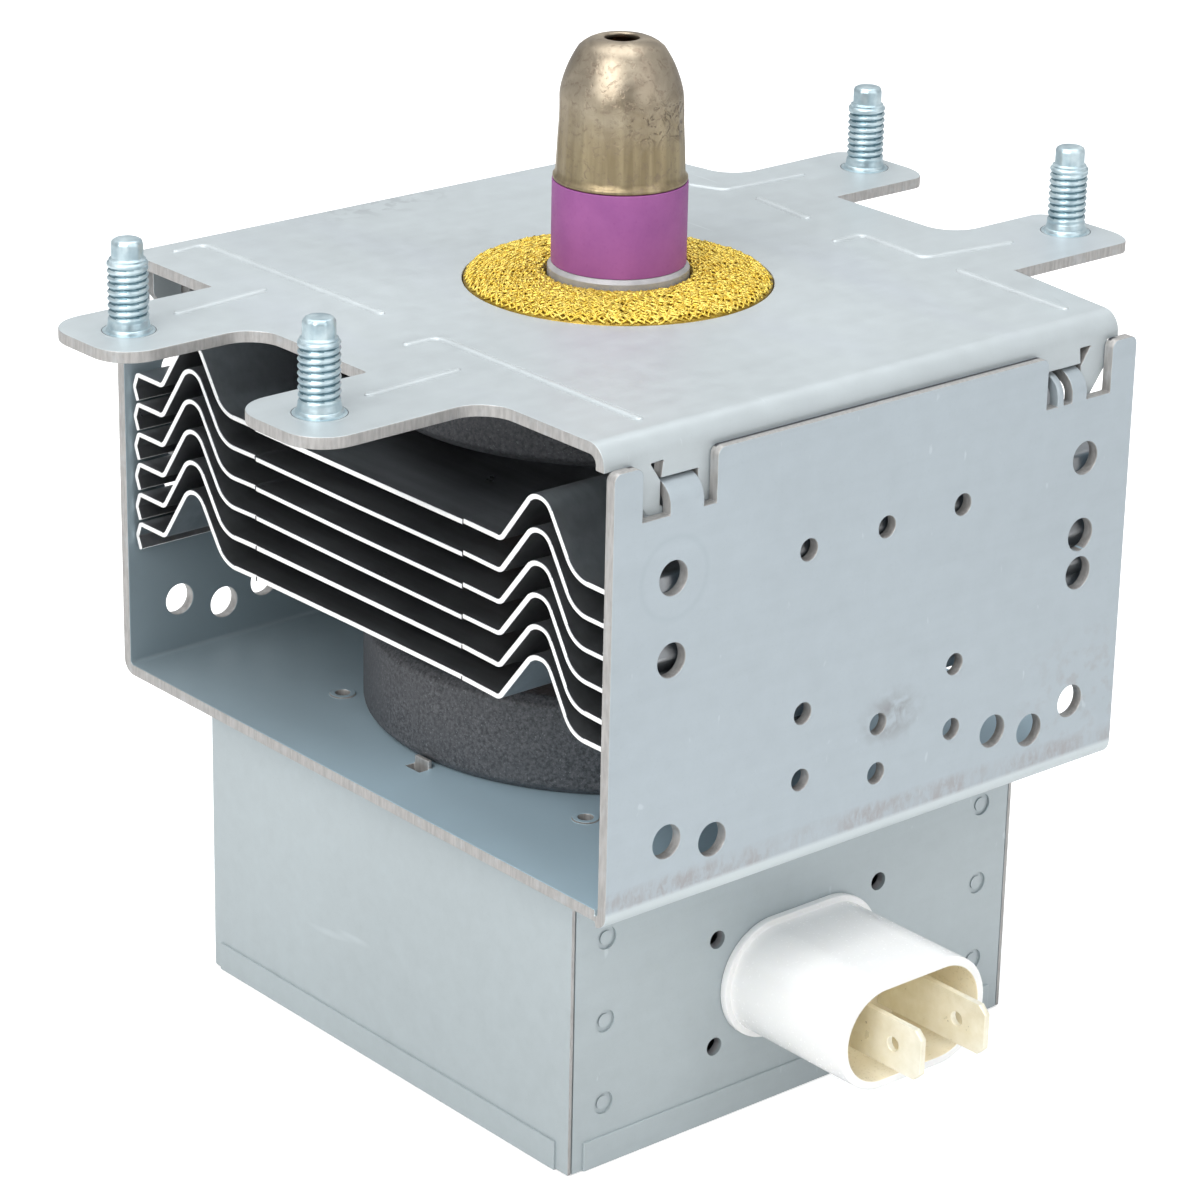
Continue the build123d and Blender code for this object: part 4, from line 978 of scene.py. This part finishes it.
def make_lid(material):
    """Floor and four low flanges that stop short of the box's corners."""
    work = bmesh.new()
    outer = BOX_HALF + LID_LIP
    box_into(
        work,
        (-LID_FLOOR_HALF, -LID_FLOOR_HALF, LID_BOTTOM + LID_FLOOR[0]),
        (LID_FLOOR_HALF, LID_FLOOR_HALF, LID_BOTTOM + LID_FLOOR[1]),
    )
    for way in (-1, 1):
        low, high = sorted((way * (BOX_HALF - LID_FLANGE_INSET), way * outer))
        box_into(work, (low, -LID_STOP, LID_BOTTOM), (high, LID_STOP, LID_TOP))
        box_into(work, (-LID_STOP, low, LID_BOTTOM), (LID_STOP, high, LID_TOP))
    piece = mesh_piece("lid_skin", work, [material], smooth=False, outward=False)
    rounding = piece.modifiers.new("rounding", "BEVEL")
    rounding.width = LID_BEVEL * MM
    rounding.segments = 3
    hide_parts("filter_box_lid")


# The plate's far corners lie beyond these places along X and Y
PLATE_END = 39.15
EARS_HALF_SPAN = 30
EAR_TIP = 63.7
EAR_ROUNDING = 58.7
FAR_END_SHORT = 2.0


def shorten_far_end(work):
    """The plate's far end and the tips of its ears stop sooner than on the near side."""
    for vert in work.verts:
        x = vert.co.x / MM
        if x > EAR_ROUNDING:
            vert.co.x -= FAR_END_SHORT * (x - EAR_ROUNDING) / (EAR_TIP - EAR_ROUNDING) * MM
        elif x > PLATE_END and abs(vert.co.y) > EARS_HALF_SPAN * MM:
            vert.co.x -= FAR_END_SHORT * MM


FOOT_DROP = 0.75
FOOT_SIDE = -44.4
FOOT_TOP = -53.3


def drop_wall_foot(work):
    """The near wall's lower bend reaches a little lower, and the yoke's floor stays."""
    for vert in work.verts:
        if vert.co.y < FOOT_SIDE * MM and vert.co.z < FOOT_TOP * MM:
            vert.co.z -= FOOT_DROP * MM


SOCKET_LEVEL = -76.0
SOCKET_STRAIGHT = 4.65
SOCKET_RADIUS = 5.76
SOCKET_MOUTH = -54.85


def socket_side(centre):
    """1 for the faces inside the connector's socket, 0 outside."""
    beyond = max(0.0, abs(centre.x) - SOCKET_STRAIGHT)
    across = sqrt(beyond ** 2 + (centre.z - SOCKET_LEVEL) ** 2)
    return 1 if across < SOCKET_RADIUS and centre.y > SOCKET_MOUTH else 0


# Stage

FLOOR_HALF = 3.0
FLOOR_DROP = 0.1
FLOOR_GLOW = 0.55
WORLD_LEVEL = 0.46
WORLD_RISE = 0.18
WORLD_TINT = (0.97, 0.985, 1.0)
# The room is dimmer toward the camera: between two cosines to this direction its strength
# goes from the third value to the fourth
WORLD_DIM_WAY = (-0.607, -0.705, 0.366)
WORLD_DIM = (0.45, 0.97, 1.0, 0.35)
# Name, place, target, width and depth, watts, colour
LIGHTS = (
    ("key", (-0.80, -0.30, 0.62), (0, 0, -0.02), (0.75, 0.75), 8.6, (1.0, 0.995, 0.98)),
    ("front", (0.15, -0.95, 0.50), (0, 0, -0.03), (0.9, 0.9), 3.2, (0.99, 0.995, 1.0)),
    ("top", (0.05, 0.10, 0.95), (0, 0, 0), (0.9, 0.9), 6.4, (1, 1, 1)),
)
CAMERA_PLACE = (-0.31007, -0.35826, 0.14554)
CAMERA_RIGHT = (0.7628, -0.6464, 0.0193)
CAMERA_UP = (0.2229, 0.2909, 0.9305)
CAMERA_BACK = (-0.6071, -0.7054, 0.3659)
CAMERA_LENS = 125.909
CAMERA_SENSOR = 36.0


def make_stage():
    """Pale floor that keeps the object's shadow and looks white to the camera."""
    z = (LID_BOTTOM - FLOOR_DROP) * MM
    corners = [
        (x * FLOOR_HALF, y * FLOOR_HALF, z) for x, y in ((-1, -1), (1, -1), (1, 1), (-1, 1))
    ]
    mesh = bpy.data.meshes.new("floor_mesh")
    mesh.from_pydata(corners, [], [(0, 1, 2, 3)])
    floor = bpy.data.objects.new("floor", mesh)
    bpy.context.scene.collection.objects.link(floor)
    g = Graph("pale_floor", roughness=0.8)
    speck = g.noise(60, 2)
    g.set("Base Color", g.mix(speck, (0.80, 0.80, 0.80), (0.82, 0.82, 0.82)))
    path = g.node("ShaderNodeLightPath")
    g.set("Emission Color", (1.0, 1.0, 1.0))
    g.set("Emission Strength", g.times(path.outputs["Is Camera Ray"], FLOOR_GLOW))
    mesh.materials.append(g.material)


def make_world():
    """White for the camera; for everything else a bright room, dimmer on the near side."""
    world = bpy.data.worlds.new("studio")
    bpy.context.scene.world = world
    world.use_nodes = True
    tree = world.node_tree
    tree.nodes.clear()
    link = tree.links.new

    def math(operation, a, b, c=0.0):
        made = tree.nodes.new("ShaderNodeMath")
        made.operation = operation
        for socket, value in zip(made.inputs, (a, b, c)):
            if hasattr(value, "is_output"):
                link(value, socket)
            else:
                socket.default_value = value
        return made.outputs[0]

    output = tree.nodes.new("ShaderNodeOutputWorld")
    path = tree.nodes.new("ShaderNodeLightPath")
    place = tree.nodes.new("ShaderNodeTexCoord")
    seen = tree.nodes.new("ShaderNodeBackground")
    seen.inputs["Color"].default_value = (1, 1, 1, 1)
    lit = tree.nodes.new("ShaderNodeBackground")
    lit.inputs["Color"].default_value = (*WORLD_TINT, 1)
    toward = tree.nodes.new("ShaderNodeVectorMath")
    toward.operation = "DOT_PRODUCT"
    link(place.outputs["Generated"], toward.inputs[0])
    toward.inputs[1].default_value = WORLD_DIM_WAY
    dim = tree.nodes.new("ShaderNodeMapRange")
    link(toward.outputs["Value"], dim.inputs["Value"])
    for key, value in zip(("From Min", "From Max", "To Min", "To Max"), WORLD_DIM):
        dim.inputs[key].default_value = value
    split = tree.nodes.new("ShaderNodeSeparateXYZ")
    link(place.outputs["Generated"], split.inputs[0])
    rise = math("MULTIPLY_ADD", split.outputs[2], WORLD_RISE, WORLD_LEVEL)
    link(math("MULTIPLY", rise, dim.outputs["Result"]), lit.inputs["Strength"])
    mix = tree.nodes.new("ShaderNodeMixShader")
    link(path.outputs["Is Camera Ray"], mix.inputs[0])
    link(lit.outputs[0], mix.inputs[1])
    link(seen.outputs[0], mix.inputs[2])
    link(mix.outputs[0], output.inputs[0])


def make_lights():
    for name, place, target, size, power, colour in LIGHTS:
        light = bpy.data.lights.new(name, "AREA")
        light.shape = "RECTANGLE"
        light.size, light.size_y = size
        light.energy = power
        light.color = colour
        holder = bpy.data.objects.new(name, light)
        bpy.context.scene.collection.objects.link(holder)
        holder.location = place
        way = Vector(target) - Vector(place)
        holder.rotation_euler = way.to_track_quat("-Z", "Y").to_euler()


def make_camera():
    camera = bpy.data.cameras.new("view")
    camera.lens = CAMERA_LENS
    camera.sensor_width = CAMERA_SENSOR
    holder = bpy.data.objects.new("view", camera)
    bpy.context.scene.collection.objects.link(holder)
    turn = Matrix((CAMERA_RIGHT, CAMERA_UP, CAMERA_BACK)).transposed().to_4x4()
    holder.matrix_world = Matrix.Translation(CAMERA_PLACE) @ turn
    bpy.context.scene.camera = holder


# Everything put together

def dress_sheet(edge, gap):
    """Yoke, filter box and fins."""
    zinc_wall = zinc(
        "zinc_wall", (0.44, 0.50, 0.54), wall_marks_and_highlight(),
        # Two tones of painted shade inside the yoke: at the near wall, then darker at the far wall
        ((0.53, 0.70, 0.80), (0.31, 0.385, 0.425)),
    )
    zinc_plate = zinc("zinc_plate", scuffs=plate_scuffs())
    zinc_box = zinc("zinc_box", (0.455, 0.51, 0.53))
    wall_edge = cut_edge("wall_edge", seam=True)
    alu = aluminium("fin_sheet", (0.42, 0.44, 0.46), 0.34)
    alu_edge = fin_edge("fin_cut_edge")
    refined(
        "upper_yoke", [zinc_plate, edge], YOKE_SHEET, 0.14, adjust=shorten_far_end
    )
    refined(
        "lower_yoke", [zinc_wall, wall_edge], YOKE_SHEET, 0.14, adjust=drop_wall_foot
    )
    refined("filter_box_body", [zinc_box, edge], BOX_SHEET, 0.08, adjust=lower_foot)
    refined("filter_box_panel", [zinc_box], adjust=lower_and_ease, merge=False)
    make_lid(zinc_box)
    for number in range(1, FIN_COUNT + 1):
        refined(
            f"cooling_fin_{number}", [alu, alu_edge], FIN_SHEET, 0.06, 1,
            adjust=bend_fin(number),
        )
    make_fin_nicks(gap)
    # Lighter tint than the plate: painted highlight on the raised beads
    make_beads(zinc("zinc_bead_highlight", (0.545, 0.595, 0.615)))
    make_press_rings(gap, zinc_plate)


def dress_fittings(magnet, seal):
    """Magnets, antenna, connector, studs and gasket."""
    purple = purple_ceramic("purple_ceramic")
    plastic = white_plastic("white_plastic", (0.93, 0.93, 0.92), (0.97, 0.97, 0.965))
    ivory = white_plastic("ivory_plastic", (0.98, 0.88, 0.66), (1.0, 0.94, 0.77), 0.3)
    tinned = plain_metal(
        "tinned_brass", (0.84, 0.79, 0.62), (0.95, 0.91, 0.77), (0.26, 0.40), 0.35
    )
    refined("upper_magnet", [magnet], bevel=0.3)
    refined("lower_magnet", [magnet], bevel=0.3)
    refined("antenna_ceramic", [purple], bevel=0.12)
    refined("upper_seal_cup", [seal], bevel=0.06)
    refined(
        "connector_housing", [plastic, ivory], bevel=0.15, mark=socket_side
    )
    for number in (1, 2):
        refined(f"terminal_blade_{number}", [tinned], bevel=0.1)
    make_studs([
        bright_zinc("bright_zinc"),
        # Darker copy: painted shade in the thread's roots
        bright_zinc("thread_root_shade", (0.10, 0.19, 0.23), (0.20, 0.31, 0.36)),
    ])
    make_gasket(
        brass_wire("gold_wire", (0.72, 0.50, 0.055), (0.88, 0.70, 0.16)),
        brass_wire("gold_shadow", (0.24, 0.15, 0.015), (0.40, 0.27, 0.035)),
    )
    make_cap(nickel("worn_nickel"))


def dress_inner_parts(magnet, seal):
    """Materials for the solids that stay as they are."""
    inner = {
        "copper": plain_metal("bright_copper", (0.62, 0.30, 0.18), (0.80, 0.44, 0.30)),
        "seal_steel": seal,
        "pole_iron": plain_metal("pole_iron", (0.40, 0.40, 0.41), (0.55, 0.55, 0.56)),
        "cathode_metal": plain_metal(
            "cathode_metal", (0.26, 0.26, 0.27), (0.42, 0.42, 0.43), (0.35, 0.5)
        ),
        "white_ceramic": pale_ceramic("pale_ceramic"),
        "ferrite": magnet,
        "enamelled_wire": plain_metal(
            "enamelled_wire", (0.44, 0.17, 0.07), (0.66, 0.30, 0.14), (0.2, 0.32)
        ),
    }
    for row in frame["record"]["subparts"]:
        node = frame["nodes"][row["node"]]
        if not node.hide_render:
            for place in node.material_slots:
                place.material = inner[row["material_slot"]]


def dress():
    edge = cut_edge("sheared_edge")
    # Near black: painted shade in the press gaps and in the fins' nicks
    gap = plain_metal("press_gap_shade", (0.05, 0.05, 0.055), (0.10, 0.10, 0.11), (0.5, 0.7))
    magnet = ferrite("ferrite")
    seal = plain_metal("seal_steel", (0.40, 0.40, 0.415), (0.52, 0.52, 0.54), (0.5, 0.62), 0.5)
    dress_sheet(edge, gap)
    dress_fittings(magnet, seal)
    dress_inner_parts(magnet, seal)


make_camera()
make_world()
make_lights()
make_stage()
dress()
bpy.context.scene.view_settings.view_transform = "Standard"
